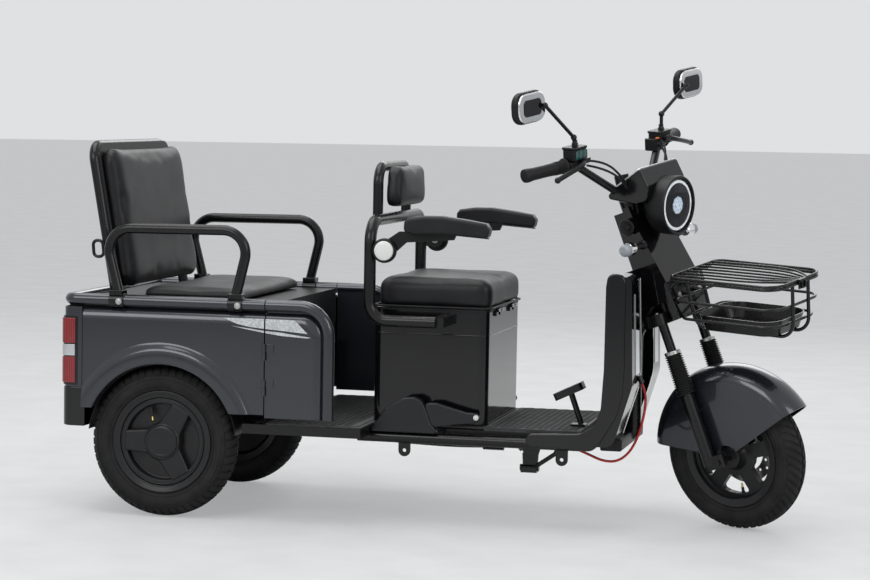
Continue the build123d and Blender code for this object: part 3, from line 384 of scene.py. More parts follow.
def surface(name, colour, rough, metal=0.0, coat=0.0, sheen=0.0, glow=0.0, clear=0.0, ior=1.5, shine=0.5):
    """Start a surface with its plain values."""
    made = bpy.data.materials.new(name)
    made.use_nodes = True
    shader = made.node_tree.nodes["Principled BSDF"]
    for key, value in (
        ("Base Color", (*colour, 1)), ("Roughness", rough), ("Metallic", metal), ("Coat Weight", coat),
        ("Coat Roughness", 0.04), ("Sheen Weight", sheen), ("Transmission Weight", clear), ("IOR", ior),
        ("Specular IOR Level", shine),
    ):
        shader.inputs[key].default_value = value
    if glow:
        shader.inputs["Emission Color"].default_value = (*colour, 1)
        shader.inputs["Emission Strength"].default_value = glow
    SURFACES[name] = made
    return made


def pattern(made, kind, scale, detail=None, stretch=(1, 1, 1)):
    """A pattern fixed to the object, and its value."""
    nodes = made.node_tree.nodes
    links = made.node_tree.links
    place = nodes.new("ShaderNodeTexCoord")
    fit = nodes.new("ShaderNodeMapping")
    fit.inputs["Scale"].default_value = stretch
    links.new(place.outputs["Object"], fit.inputs["Vector"])
    grain = nodes.new(kind)
    grain.inputs["Scale"].default_value = scale
    if detail is not None:
        grain.inputs["Detail"].default_value = detail
    links.new(fit.outputs["Vector"], grain.inputs["Vector"])
    return grain.outputs[0]


def blend_colour(made, value, dark, light, low=0.35, high=0.65):
    """Colour from a pattern's value."""
    ramp = made.node_tree.nodes.new("ShaderNodeValToRGB")
    ramp.color_ramp.elements[0].position = low
    ramp.color_ramp.elements[1].position = high
    ramp.color_ramp.elements[0].color = (*dark, 1)
    ramp.color_ramp.elements[1].color = (*light, 1)
    made.node_tree.links.new(value, ramp.inputs["Fac"])
    made.node_tree.links.new(ramp.outputs["Color"], made.node_tree.nodes["Principled BSDF"].inputs["Base Color"])


def blend_rough(made, value, low, high):
    """Roughness from a pattern's value."""
    fit = made.node_tree.nodes.new("ShaderNodeMapRange")
    fit.inputs["To Min"].default_value = low
    fit.inputs["To Max"].default_value = high
    made.node_tree.links.new(value, fit.inputs["Value"])
    made.node_tree.links.new(fit.outputs["Result"], made.node_tree.nodes["Principled BSDF"].inputs["Roughness"])


def relief(made, value, strength, depth):
    """Fine relief from a pattern's value, over what the surface has already."""
    bump = made.node_tree.nodes.new("ShaderNodeBump")
    bump.inputs["Strength"].default_value = strength
    bump.inputs["Distance"].default_value = depth * MM
    normal = made.node_tree.nodes["Principled BSDF"].inputs["Normal"]
    if normal.links:
        made.node_tree.links.new(normal.links[0].from_socket, bump.inputs["Normal"])
    made.node_tree.links.new(value, bump.inputs["Height"])
    made.node_tree.links.new(bump.outputs["Normal"], normal)


def scaled(colour, share):
    """A colour made darker or lighter."""
    return tuple(min(1, part * share) for part in colour)


def make_surfaces(settings):
    """Every finish of the tricycle: its slot and plain values, then what its patterns drive."""
    paint, vinyl, stripe = settings.paint, settings.vinyl, settings.stripe
    for name, slot, colour, rough, values, steps in (
        # each step: what is driven, pattern, scale, detail, then the two ends of colour or roughness, or the
        # strength and depth of the relief
        ("graphite_paint", "body_paint", paint, 0.24, {"metal": 0.6, "coat": 0.7}, (
            (blend_colour, CELLS, 2200, None, scaled(paint, 0.82), scaled(paint, 1.25), 0, 0.8),
            (relief, NOISE, 55, 2, 0.05, 0.4),
        )),
        ("gloss_black", "plastic_black", (0.004, 0.004, 0.0048), 0.09, {"coat": 0.3, "shine": 0.28}, (
            (blend_rough, NOISE, 9, 5, 0.05, 0.16),
            (relief, NOISE, 40, 1, 0.03, 0.3),
        )),
        ("powder_black", "frame_black", (0.0045, 0.0045, 0.0052), 0.24, {"coat": 0.2, "shine": 0.25}, (
            (blend_rough, NOISE, 30, 6, 0.2, 0.34),
            (relief, NOISE, 900, 3, 0.12, 0.15),
        )),
        ("moulded_black", "plastic_black", (0.006, 0.0062, 0.007), 0.4, {"shine": 0.25}, (
            (blend_colour, NOISE, 14, 5, (0.005, 0.0052, 0.0058), (0.008, 0.0083, 0.0092)),
            (relief, CELLS, 1100, None, 0.14, 0.12),
        )),
        ("tyre_rubber", "tyre_black", (0.011, 0.011, 0.012), 0.7, {"shine": 0.25}, (
            (blend_colour, NOISE, 22, 7, (0.008, 0.008, 0.0087), (0.016, 0.0157, 0.0155)),
            (blend_rough, NOISE, 60, 5, 0.58, 0.86),
            (relief, NOISE, 1400, 3, 0.2, 0.12),
        )),
        ("soft_rubber", "rubber_black", (0.008, 0.008, 0.009), 0.55, {"shine": 0.28}, (
            (relief, NOISE, 700, 4, 0.15, 0.12),
        )),
        ("wheel_black", "wheel_black", (0.0075, 0.0077, 0.0088), 0.34, {"coat": 0.12, "shine": 0.3}, (
            (blend_rough, NOISE, 24, 6, 0.3, 0.5),
            (relief, NOISE, 800, 2, 0.08, 0.12),
        )),
        ("black_vinyl", "seat_vinyl", vinyl, 0.36, {"sheen": 0.02, "shine": 0.28}, (
            (blend_colour, NOISE, 18, 6, scaled(vinyl, 0.8), scaled(vinyl, 1.35)),
            (relief, CELLS, 420, None, 0.22, 0.22),
            (relief, NOISE, 1300, 4, 0.12, 0.12),
            (blend_rough, NOISE, 11, 3, 0.34, 0.5),
        )),
        ("seam_thread", "seat_vinyl", (0.008, 0.008, 0.009), 0.5, {"shine": 0.3}, (
            (relief, WAVES, 260, None, 0.5, 0.3),
        )),
        ("floor_mat", "rubber_black", (0.02, 0.0205, 0.022), 0.55, {"shine": 0.4}, (
            (blend_colour, NOISE, 30, 8, (0.014, 0.0145, 0.0155), (0.03, 0.0305, 0.032)),
        )),
        ("bright_chrome", "chrome_trim", (0.78, 0.79, 0.8), 0.07, {"metal": 1.0}, (
            (blend_rough, NOISE, 45, 4, 0.04, 0.13),
        )),
        ("zinc_steel", "chrome_trim", (0.5, 0.5, 0.49), 0.3, {"metal": 1.0}, (
            (blend_rough, NOISE, 160, 5, 0.22, 0.42),
        )),
        ("mirror_glass", "chrome_trim", (0.82, 0.84, 0.86), 0.02, {"metal": 1.0}, (
            (blend_rough, NOISE, 12, 2, 0.01, 0.035),
        )),
        ("silver_stripe", "chrome_trim", stripe, 0.4, {"metal": 0.25}, (
            (blend_colour, NOISE, 240, 9, scaled(stripe, 0.72), scaled(stripe, 1.15)),
            (blend_rough, NOISE, 240, 9, 0.3, 0.5),
        )),
        ("red_lens", "lamp_red", (0.11, 0.002, 0.004), 0.12, {"coat": 0.5}, (
            (blend_colour, WAVES, 60, None, (0.12, 0.002, 0.004), (0.3, 0.008, 0.012)),
            (relief, CELLS, 240, None, 0.35, 0.4),
        )),
        ("clear_lens", "lens_clear", (0.96, 0.97, 0.98), 0.02, {"clear": 1.0, "ior": 1.2}, (
            (blend_rough, NOISE, 14, 2, 0.0, 0.03),
        )),
        ("fluted_lens", "lens_clear", (0.42, 0.45, 0.48), 0.12, {"clear": 0.3, "ior": 1.4}, (
            (relief, WAVES, 120, None, 0.5, 0.5),
        )),
        ("lamp_ring", "lens_clear", (0.83, 0.87, 0.88), 0.35, {"glow": 0.3}, (
            (relief, NOISE, 300, 2, 0.2, 0.2),
        )),
        # projector: a bluish tint with pale cells that are painted glints on its facets; the glow is the headlight's
        # own
        ("projector_painted_glints", "lens_clear", (0.6, 0.72, 0.86), 0.12, {"coat": 0.8, "glow": 0.35}, (
            (blend_colour, CELLS, 130, None, (0.3, 0.42, 0.6), (0.85, 0.92, 1.0), 0.15, 0.6),
            (relief, CELLS, 130, None, 0.6, 1),
        )),
        ("lamp_bowl", "lens_clear", (0.014, 0.016, 0.019), 0.12, {"metal": 0.7}, (
            (blend_rough, NOISE, 80, 3, 0.1, 0.25),
        )),
        ("display_screen", "plastic_black", (0.006, 0.007, 0.009), 0.06, {"coat": 1.0}, (
            (blend_rough, NOISE, 30, 3, 0.04, 0.1),
        )),
        ("red_sheath", "cable_red", (0.42, 0.014, 0.012), 0.4, {}, (
            (blend_colour, NOISE, 90, 4, (0.34, 0.01, 0.01), (0.48, 0.02, 0.016)),
        )),
        ("brass", "chrome_trim", (0.72, 0.52, 0.2), 0.3, {"metal": 1.0}, (
            (blend_rough, NOISE, 300, 3, 0.25, 0.4),
        )),
        ("pale_cap", "chrome_trim", (0.7, 0.7, 0.68), 0.35, {}, (
            (blend_rough, NOISE, 120, 3, 0.3, 0.42),
        )),
        ("orange_button", "plastic_black", (0.75, 0.16, 0.02), 0.35, {}, (
            (blend_rough, NOISE, 200, 2, 0.3, 0.42),
        )),
        ("moulded_satin", "plastic_black", (0.009, 0.0095, 0.0115), 0.28, {"shine": 0.35}, (
            (blend_rough, NOISE, 40, 5, 0.24, 0.38),
            (relief, NOISE, 900, 3, 0.08, 0.12),
        )),
        ("lamp_silver", "chrome_trim", (0.62, 0.63, 0.65), 0.2, {"metal": 0.9}, (
            (blend_rough, NOISE, 60, 3, 0.14, 0.26),
        )),
        ("sight_glass", "lens_clear", (0.008, 0.06, 0.06), 0.08, {"coat": 0.6}, (
            (blend_colour, WAVES, 40, None, (0.004, 0.035, 0.036), (0.016, 0.12, 0.11)),
        )),
        ("battery_casing", "plastic_black", (0.1, 0.1, 0.11), 0.5, {}, (
            (relief, NOISE, 500, 3, 0.12, 0.15),
        )),
    ):
        made = surface(name, colour, rough, **values)
        for drive, kind, scale, detail, *ends in steps:
            drive(made, pattern(made, kind, scale, detail), *ends)
    mat = SURFACES["floor_mat"]
    relief(mat, pattern(mat, CELLS, 95, stretch=(1, 1.7, 1)), 0.7, 0.9)


# Tyres and wheels

CARCASS = (
    # half width, radius
    (0, 202.3), (8, 202.0), (17, 200.2), (25, 196.6), (32, 190.6), (37.5, 183), (41, 175), (42.4, 167.5),
    (41.8, 160), (39.2, 152), (36.6, 147.5), (35.2, 143.5), (31.5, 139.5), (29, 137.2), (28, 128.2),
)


def tread_radius(half):
    """The carcass radius at a distance from the tyre's middle."""
    for (near, high), (far, low) in zip(CARCASS, CARCASS[1:]):
        if near <= half <= far:
            return high + (low - high) * (half - near) / (far - near)
    return CARCASS[-1][1]


def tread_block(name, centre, side, settings, lean, waist):
    """One tread block: a strip over the crown from the middle groove to the shoulder, set round with its width."""
    pitch = tau / settings.lugs
    stations = (2.6, 9, 16, 23, 29, 34, 38)
    rows = []
    for edge in (-0.5, 0.5):
        row = []
        for number, half in enumerate(stations):
            swing = lean * (half / 38) ** 1.4 + edge * pitch * (waist + 0.05 * sin(number * 1.3))
            radius = tread_radius(half) + 0.2
            row.append(centre + mm(radius * sin(swing), side * half, radius * cos(swing)))
        rows.append(row)
    tread = draped(name, rows)
    face_out(tread, UPWARD)
    apply(tread, "SOLIDIFY", thickness=(settings.lug_depth + 1.2) * MM, offset=0.4)
    return tread


def make_tyre(name, node, centre, body, settings, lean, waist):
    """A tyre: the carcass spun round its axle, with tread blocks set round it."""
    section = [Vector((0, half, radius)) for half, radius in CARCASS]
    section += [Vector((0, -half, radius)) for half, radius in reversed(CARCASS[1:])]
    carcass = spun(name, [centre + point * MM for point in section], centre, LEFT, steps=96, closed=True)
    blocks = []
    for side in (-1, 1):
        first = tread_block(f"{name}_block", centre, side, settings, lean, waist)
        for number in range(settings.lugs):
            copy = first.copy()
            copy.data = first.data.copy()
            bpy.context.scene.collection.objects.link(copy)
            swing = tau * (number + (0.5 if side > 0 else 0)) / settings.lugs
            copy.data.transform(
                Matrix.Translation(centre) @ Matrix.Rotation(swing, 4, LEFT) @ Matrix.Translation(-centre)
            )
            blocks.append(copy)
        bpy.data.objects.remove(first)
    whole = join(name, [carcass, *blocks])
    # raised rings on the sidewalls
    rings = []
    for side in (-1, 1):
        for radius, half in ((150, 38.6), (172, 41.6)):
            rings.append(turned(
                f"{name}_ring", centre, LEFT,
                [(radius - 1.6, side * (half - 1)), (radius, side * (half + 0.9)), (radius + 1.6, side * (half - 1))],
                steps=96, closed=True,
            ))
    whole = join(name, [whole, *rings])
    finished(whole, body, "tyre_rubber", (node,), sharp=32)


class TRIKE_OT_tyres(bpy.types.Operator):
    """Make the three tyres with their tread"""

    bl_idname = "trike.tyres"
    bl_label = "Tyres"

    def execute(self, context):
        settings = context.scene.tricycle
        for name in SIDES:
            node = f"tyre_rear_{name}"
            make_tyre(f"road_tyre_rear_{name}", node, middle(node), f"wheel_rear_{name}", settings, 0.05, 0.72)
        make_tyre("road_tyre_front", "tyre_front", FRONT_AXLE, "wheel_front", settings, -0.17, 0.66)
        return {"FINISHED"}


def rim_profile():
    """A rim from its outer edge inward: radius and distance out from the tyre's middle."""
    return [
        (139.5, 33.4), (140, 35), (138, 36.4), (134.5, 36.2), (131, 34), (127, 31.8), (122, 31), (120.5, 29.5),
        (120, 26), (118.6, -26), (120, -31), (131, -34), (138, -36.4), (140, -35), (139.5, -33.4), (137, -33),
        (126, -28), (114, -12), (114, 12), (126, 28), (137, 33),
    ]


def lobed_outline(centre, side, level, hub, reach, half):
    """The three-lobed edge of a rear wheel's cover, one lobe every third of a turn, the first to the rear."""
    corners = []
    for turn in range(3):
        swing = pi - turn * tau / 3
        along = Vector((cos(swing), 0, sin(swing)))
        across = Vector((-sin(swing), 0, cos(swing))) * -1
        for out, wide in ((hub, -half * 1.1), (reach, -half * 0.94), (reach, half * 0.94), (hub, half * 1.1)):
            corners.append(centre + (along * out + across * wide) * MM)
    lift = Vector((0, side * level * MM, 0))
    return [point + lift for point in rounded(corners, [14, 7, 7, 14] * 3, closed=True, steps=5)]


class TRIKE_OT_wheels(bpy.types.Operator):
    """Make the rear wheels' rims and lobed covers"""

    bl_idname = "trike.wheels"
    bl_label = "Wheels"

    def execute(self, context):
        for name, side in SIDES.items():
            centre = middle(f"tyre_rear_{name}")
            out = Vector((0, side, 0))
            body = f"wheel_rear_{name}"
            rim = turned(f"rim_{name}", centre, out, rim_profile(), steps=96, closed=True)
            dish = turned(
                f"cover_dish_{name}", centre, out,
                [
                    (120, 20), (120, 27), (117.5, 29.4), (115.6, 29.6), (114.8, 28.4), (114, 29.6), (106, 29),
                    (104, 26.5), (103, 22), (102, 9.5), (98, 8), (50, 7.4), (0, 7.4), (0, 2), (118, 2), (119, 12),
                ],
                steps=96,
            )
            lobes = plate(f"cover_lobes_{name}", lobed_outline(centre, side, 5, 44, 108, 30), out * 27.5 * MM)
            soften(lobes, 7, 4, 40)
            cap = turned(
                f"cover_cap_{name}", centre, out,
                [
                    (54, 8), (53, 26), (50, 32.5), (47, 34.5), (45.4, 35), (44.6, 33.8), (43.6, 36), (40, 38),
                    (36, 38.4), (34.6, 37.2), (33, 37.6), (16, 38.8), (0, 39.2),
                ],
                steps=64,
            )
            inner = turned(
                f"hub_inner_{name}", centre, out,
                [(0, -41), (30, -41), (34, -38), (34, -30), (60, -24), (112, -16), (112, -8), (0, -8)], steps=64,
            )
            wheel = join(f"rear_wheel_{name}", [rim, dish, lobes, cap, inner])
            finished(wheel, body, "wheel_black", (f"wheel_rear_{name}",), bevel=0.8)
            # tyre valve in the slot between the rear and the upper lobe
            swing = radians(112)
            foot = centre + mm(84 * cos(swing), 12 * side, 84 * sin(swing))
            inward = centre - foot
            stem = Vector((inward.x, side * 0.05, inward.z)).normalized()
            root = foot + Vector((0, side * 14 * MM, 0))
            valve = turned(
                f"valve_{name}", root, stem,
                [(0, -14), (5.5, -14), (5.5, 2), (4, 5), (4, 14), (0, 14)], steps=20,
            )
            finished(valve, body, "soft_rubber", bevel=0.5)
            tip = turned(
                f"valve_tip_{name}", root, stem,
                [(0, 14), (3, 14), (3, 23), (2.4, 24.5), (0, 25)], steps=20,
            )
            finished(tip, body, "brass", bevel=0.3)
        return {"FINISHED"}


class TRIKE_OT_front_wheel(bpy.types.Operator):
    """Make the front wheel with its five broad spokes, its brake disc and its valve"""

    bl_idname = "trike.front_wheel"
    bl_label = "Front wheel"

    def execute(self, context):
        rim = turned("front_rim", FRONT_AXLE, LEFT, rim_profile(), steps=96, closed=True)
        web = turned(
            "front_web", FRONT_AXLE, LEFT,
            [(0, -15), (40, -15), (52, -11), (116, -9), (116, 9), (52, 11), (40, 15), (0, 15)], steps=80,
        )
        gaps = []
        for number in range(5):
            swing = radians(54 + 72 * number)
            corners = []
            for radius, spread, order in ((108, radians(25), (-1, -0.5, 0, 0.5, 1)), (58, radians(16), (1, 0, -1))):
                corners += [
                    FRONT_AXLE + mm(radius * cos(swing + spread * share), -40, radius * sin(swing + spread * share))
                    for share in order
                ]
            gaps.append(plate(f"gap_{number}", rounded(corners, 8, closed=True, steps=4), LEFT * 80 * MM))
        cut(web, join("gaps", gaps))
        hub = turned(
            "front_hub", FRONT_AXLE, LEFT,
            [(0, -38), (26, -38), (30, -36), (34, -24), (42, -14), (42, 14), (34, 24), (34, 40), (8.6, 40), (0, 40)],
            steps=48,
        )
        whole = join("front_wheel", [rim, web, hub])
        finished(whole, "wheel_front", "wheel_black", ("wheel_front",), bevel=1.6)
        ring = [(58, 40.5), (90, 40.5), (90, 44), (58, 44)]
        disc = turned("brake_disc", FRONT_AXLE, LEFT, ring, steps=64, closed=True)
        holes = []
        for number in range(24):
            swing = tau * number / 24
            reach = 68 if number % 2 else 80
            holes.append(turned(
                f"hole_{number}", FRONT_AXLE + mm(reach * cos(swing), 0, reach * sin(swing)), LEFT,
                [(0, 30), (3.6, 30), (3.6, 50), (0, 50)], steps=12,
            ))
        cut(disc, join("holes", holes))
        arms = [
            block(
                f"disc_arm_{number}", FRONT_AXLE, (30, 5, 14),
                Matrix.Rotation(tau * number / 5, 4, LEFT) @ Matrix.Translation((46 * MM, 40 * MM, 0)),
            )
            for number in range(5)
        ]
        finished(join("front_brake_disc", [disc, *arms]), "wheel_front", "zinc_steel")
        swing = radians(-80)
        foot = FRONT_AXLE + mm(112 * cos(swing), 0, 112 * sin(swing))
        inward = FRONT_AXLE - foot
        stem = turned("front_valve", foot, inward, [(0, -4), (5.5, -4), (5.5, 6), (4, 10), (4, 20), (0, 20)], steps=20)
        finished(stem, "wheel_front", "soft_rubber", bevel=0.5)
        tip = turned("front_valve_tip", foot, inward, [(0, 20), (3, 20), (3, 29), (2.4, 31), (0, 31.4)], steps=20)
        finished(tip, "wheel_front", "brass")
        return {"FINISHED"}


# Rear body sides and doors

BODY_HALF = 370
SKIN = 3
SEAM = 292
GAP = 1.5
HINGES = (345, 440)
SKIN_LOW = 293
DOOR_LOW = 285
SKIN_REAR = -226
SKIN_TOP = 567
DOOR_EDGE = 455
RAIL_HALF = 356
RAIL_Z = 587
RAIL = 16
DOOR_FRONT = 466
SHOULDER = (
    # inward from the edge, out from the step before
    (1.5, 3.5), (3, 4.5), (5, 5), (7, 4), (8, 2.2), (8, 0.8),
)
FLARE = (
    # radius from the axle, out from the flat side
    (272, 0), (267, 1.5), (262, 5), (257, 9), (251, 11.4), (244, 12.4), (230, 12.6), (219, 12), (215, 10.4),
    (213.4, 8), (213, 4), (213, -12),
)


def shouldered(name, side, points):
    """A side skin: an outline stepped in and out to the flat side, with a soft shoulder all round."""
    rise = sum(step for _, step in SHOULDER)
    skin = outline(name, [at(x, side * (BODY_HALF - rise), z) for x, z in points])
    edit(skin)
    bpy.ops.mesh.edge_face_add()
    bpy.ops.object.mode_set(mode="OBJECT")
    face_out(skin, Vector((0, side, 0)))
    edit(skin)
    for inward, out in SHOULDER:
        bpy.ops.mesh.inset(thickness=inward * MM, depth=out * MM)
    bpy.ops.object.mode_set(mode="OBJECT")
    return skin


def trim(piece, place, outward):
    """Cut away what lies beyond a plane."""
    edit(piece)
    bpy.ops.mesh.bisect(plane_co=place, plane_no=outward, clear_outer=True)
    bpy.ops.object.mode_set(mode="OBJECT")


def hinge_half(name, side, low, forward):
    """One barrel of a door hinge with its leaf."""
    barrel = turned(
        f"{name}_barrel", at(SEAM, side * (BODY_HALF + 6), low), UPWARD,
        [(0, 0), (4.2, 0), (5, 0.8), (5, 21.2), (4.2, 22), (0, 22)], steps=24,
    )
    leaf = block(f"{name}_leaf", at(SEAM + forward * 14, side * (BODY_HALF + 1.25), low + 11), (24, 2.5, 21))
    return [barrel, leaf]


class TRIKE_OT_body_sides(bpy.types.Operator):
    """Make the rear body's side skins, their flared arches and top rails, and the doors"""

    bl_idname = "trike.body_sides"
    bl_label = "Body sides"

    def execute(self, context):
        spare = 80    # what the skins reach past their cut edges at first
        for name, side in SIDES.items():
            out = Vector((0, side, 0))
            centre = middle(f"tyre_rear_{name}")
            hub = at(0, side * BODY_HALF, 205)
            skin = shouldered(
                f"side_skin_{name}", side,
                (
                    (SKIN_REAR - spare, SKIN_LOW - spare), (SEAM + spare, SKIN_LOW - spare), (SEAM + spare, SKIN_TOP),
                    (SKIN_REAR - spare, SKIN_TOP),
                ),
            )
            trim(skin, at(SKIN_REAR, 0, 0), -FORWARD)
            trim(skin, at(SEAM - GAP, 0, 0), FORWARD)
            trim(skin, at(0, 0, SKIN_LOW), -UPWARD)
            apply(skin, "SOLIDIFY", thickness=SKIN * MM, offset=-1)
            hole = turned("arch_hole", hub, out, [(0, -60), (FLARE[0][0], -60), (FLARE[0][0], 60), (0, 60)], steps=128)
            cut(skin, hole)
            flare = turned(f"flare_{name}", hub, out, FLARE, steps=128)
            face_out(flare, out)
            trim(flare, at(SKIN_REAR, 0, 0), -FORWARD)
            trim(flare, at(0, 0, SKIN_LOW), -UPWARD)
            apply(flare, "SOLIDIFY", thickness=SKIN * MM, offset=-1)
            run = [at(SKIN_REAR - 8, side * RAIL_HALF, RAIL_Z), at(SEAM - GAP, side * RAIL_HALF, RAIL_Z)]
            rail = tube(f"rail_{name}", run, RAIL, smooth=10)
            hinges = [piece for low in HINGES for piece in hinge_half(f"hinge_{name}_{low}", side, low, -1)]
            whole = join(f"body_side_{name}", [skin, flare, rail, *hinges])
            finished(whole, "chassis", "graphite_paint", (f"side_panel_{name}",), bevel=0.6)
            liner = turned(
                f"arch_liner_{name}", centre, out,
                [(212, 36), (210.5, 36), (210.5, -70), (212, -70)], steps=64, closed=True,
            )
            trim(liner, at(0, 0, 232), -UPWARD)
            finished(liner, "chassis", "moulded_black")

            body = f"door_{name}"
            edge = door_edge(SEAM - spare, DOOR_LOW - spare, DOOR_EDGE, SKIN_TOP, 64)
            skin = shouldered(f"door_skin_{name}", side, edge)
            trim(skin, at(SEAM + GAP, 0, 0), -FORWARD)
            trim(skin, at(0, 0, DOOR_LOW), -UPWARD)
            apply(skin, "SOLIDIFY", thickness=SKIN * MM, offset=-1)
            rail = tube(
                f"door_rail_{name}",
                [
                    at(SEAM + GAP, side * RAIL_HALF, RAIL_Z), at(DOOR_FRONT, side * RAIL_HALF, RAIL_Z),
                    at(DOOR_FRONT, side * RAIL_HALF, DOOR_LOW),
                ],
                RAIL, 78, smooth=10,
            )
            edge = door_edge(SEAM + GAP, DOOR_LOW + 2, DOOR_FRONT, RAIL_Z, 74)
            lining = plate(
                f"door_lining_{name}", [at(x, side * (BODY_HALF - 22), z) for x, z in edge], out * -4 * MM,
            )
            hinges = [
                piece for low in HINGES for piece in hinge_half(f"door_hinge_{name}_{low}", side, low + 22.3, 1)
            ]
            whole = join(f"side_door_{name}", [skin, rail, lining, *hinges])
            finished(whole, body, "graphite_paint", (body,), bevel=0.6)
        return {"FINISHED"}


def door_edge(rear, low, front, top, bend):
    """A door's outline, along and up, with its top front corner round."""
    arc = [
        (front - bend + bend * sin(step * pi / 24), top - bend + bend * cos(step * pi / 24)) for step in range(13)
    ]
    return [(rear, low), (rear, top), *arc, (front, low)]


STRIPES = (
    # body, then along and up round each stripe
    ("chassis", ((176, 551), (290, 552), (290, 525.5), (249, 529), (214, 536))),
    ("door", ((294, 552), (376, 551), (411, 516), (337, 522), (294, 525))),
    ("chassis", ((198, 530.5), (290, 520), (290, 514.5), (238, 523))),
    ("door", ((294, 519.5), (335, 517), (421, 506), (411, 504), (337, 508), (294, 514))),
)


class TRIKE_OT_stripes(bpy.types.Operator):
    """Make the tapered pale stripes on the body sides and doors"""

    bl_idname = "trike.stripes"
    bl_label = "Stripes"

    def execute(self, context):
        thick = 0.35
        for name, side in SIDES.items():
            for number, (part, points) in enumerate(STRIPES):
                stripe = plate(
                    f"stripe_{name}_{number}", [at(x, side * (BODY_HALF + 0.02), z) for x, z in points],
                    Vector((0, side * thick * MM, 0)),
                )
                body = part if part == "chassis" else f"door_{name}"
                finished(stripe, body, "silver_stripe")
        return {"FINISHED"}


TAIL_REAR = -285
BACK_LEAN = radians(10)
TAIL_BEND = 28


def tail_band(name, low, high, proud, thick, front, inner=0, side=0):
    """A band on the tail's corners: round the whole rear, or on one side in to a distance from the middle."""
    edges = []
    for out in (proud, proud - thick):
        half = BODY_HALF + out
        rear = TAIL_REAR - out
        if side:
            corners = [at(front, side * half, low), at(rear, side * half, low), at(rear, side * inner, low)]
        else:
            corners = [at(front, -half, low), at(rear, -half, low), at(rear, half, low), at(front, half, low)]
        edges.append(rounded(corners, TAIL_BEND + out, steps=8))
    return plate(name, edges[0] + edges[1][::-1], Vector((0, 0, (high - low) * MM)))


class TRIKE_OT_tail(bpy.types.Operator):
    """Make the tail's panel and rail, its lamps and its bumper"""

    bl_idname = "trike.tail"
    bl_label = "Tail"

    def execute(self, context):
        across = -LEFT
        shell = tail_band("tail_band", 300, SKIN_TOP - 1, 0, SKIN, SKIN_REAR - GAP)
        rail = tube(
            "tail_rail",
            [
                at(SKIN_REAR - GAP, -RAIL_HALF, RAIL_Z), at(TAIL_REAR + 14, -RAIL_HALF, RAIL_Z),
                at(TAIL_REAR + 14, RAIL_HALF, RAIL_Z), at(SKIN_REAR - GAP, RAIL_HALF, RAIL_Z),
            ],
            RAIL, 26, smooth=8,
        )
        field = panel("tail_field", at(TAIL_REAR + 1, 0, 448), (540, 176), 26, across, UPWARD, 4)
        soften(field, 2.5, 3, 50)
        whole = join("tail_shell", [shell, rail, field])
        finished(whole, "chassis", "graphite_paint", ("tail_panel",), bevel=0.6)
        bumper = tail_band("tail_bumper", 240, 347, 2.5, 7, -218)
        finished(bumper, "chassis", "gloss_black", bevel=6, segments=4, sharp=50)
        holder = panel("plate_holder", at(TAIL_REAR - 3, 0, 440), (250, 120), 10, across, UPWARD, 4)
        finished(holder, "chassis", "moulded_black", bevel=1.2, sharp=50)
        for name, finish, heights, proud, thick, front, inner, replaces, bevel, segments in (
            ("tail_lamp_reds", "red_lens", ((358, 429), (466, 535)), 4, 5, -246, 304, ("tail_lamps",), 1.6, 3),
            ("tail_lamp_bands", "lamp_silver", ((432, 463),), 3.4, 5, -247, 306, (), 1, 2),
            ("tail_lamp_frames", "gloss_black", ((352, 541),), 2, 4, -240, 298, (), 1, 2),
        ):
            bands = [
                tail_band(f"{name}_{side}_{low}", low, high, proud, thick, front, inner, side)
                for side in SIDES.values() for low, high in heights
            ]
            finished(join(name, bands), "chassis", finish, replaces, bevel, segments, sharp=50)
        small = panel("reflector", at(TAIL_REAR - 3, 0, 524), (90, 22), 8, across, UPWARD, 3)
        finished(small, "chassis", "red_lens", bevel=1, sharp=50)
        bolts = [bolt(f"plate_bolt_{y}", at(TAIL_REAR - 7, y, 440), -FORWARD, 4) for y in (-90, 90)]
        finished(join("plate_bolts", bolts), "chassis", "zinc_steel")
        return {"FINISHED"}


class TRIKE_OT_hoop_fittings(bpy.types.Operator):
    """Make the grab hoops' clamps and bolts, and the board and loops behind the rear seat's back"""

    bl_idname = "trike.hoop_fittings"
    bl_label = "Hoop fittings"

    def execute(self, context):
        clamps = []
        bolts = []
        loops = []
        for name, side in SIDES.items():
            out = Vector((0, side, 0))
            for x in (-130, 207):
                clamps.append(turned(
                    f"clamp_{name}_{x}", at(x - 21, side * (RAIL_HALF - 1), RAIL_Z), FORWARD,
                    [(0, 0), (18.5, 0), (20, 1.5), (20, 40.5), (18.5, 42), (0, 42)], steps=32,
                ))
                clamps.append(block(f"clamp_cap_{name}_{x}", at(x, side * (RAIL_HALF - 1), RAIL_Z + 21), (38, 38, 14)))
                bolts.append(bolt(f"hoop_bolt_{name}_{x}", at(x + 9, side * (RAIL_HALF + 19), RAIL_Z - 2), out, 6))
            y = side * 297
            loops.append(tube(
                f"loop_{name}", [at(-222, y, 700), at(-193, y, 700), at(-198, y, 744), at(-226, y, 744)], 4.5, 12,
                closed=True,
            ))
        lean = Vector((-sin(BACK_LEAN), 0, cos(BACK_LEAN)))
        face = Vector((cos(BACK_LEAN), 0, sin(BACK_LEAN)))
        board = panel("back_board", at(-162, 0, 601) + (lean * 214 + face * 6) * MM, (572, 400), 40, LEFT, lean, 12)
        finished(board, "chassis", "moulded_black", bevel=2, sharp=50)
        finished(join("hoop_clamps", clamps), "chassis", "powder_black", bevel=1.5, sharp=50)
        finished(join("hoop_bolts", bolts), "chassis", "zinc_steel")
        finished(join("back_loops", loops), "chassis", "powder_black")
        return {"FINISHED"}


# Soft parts

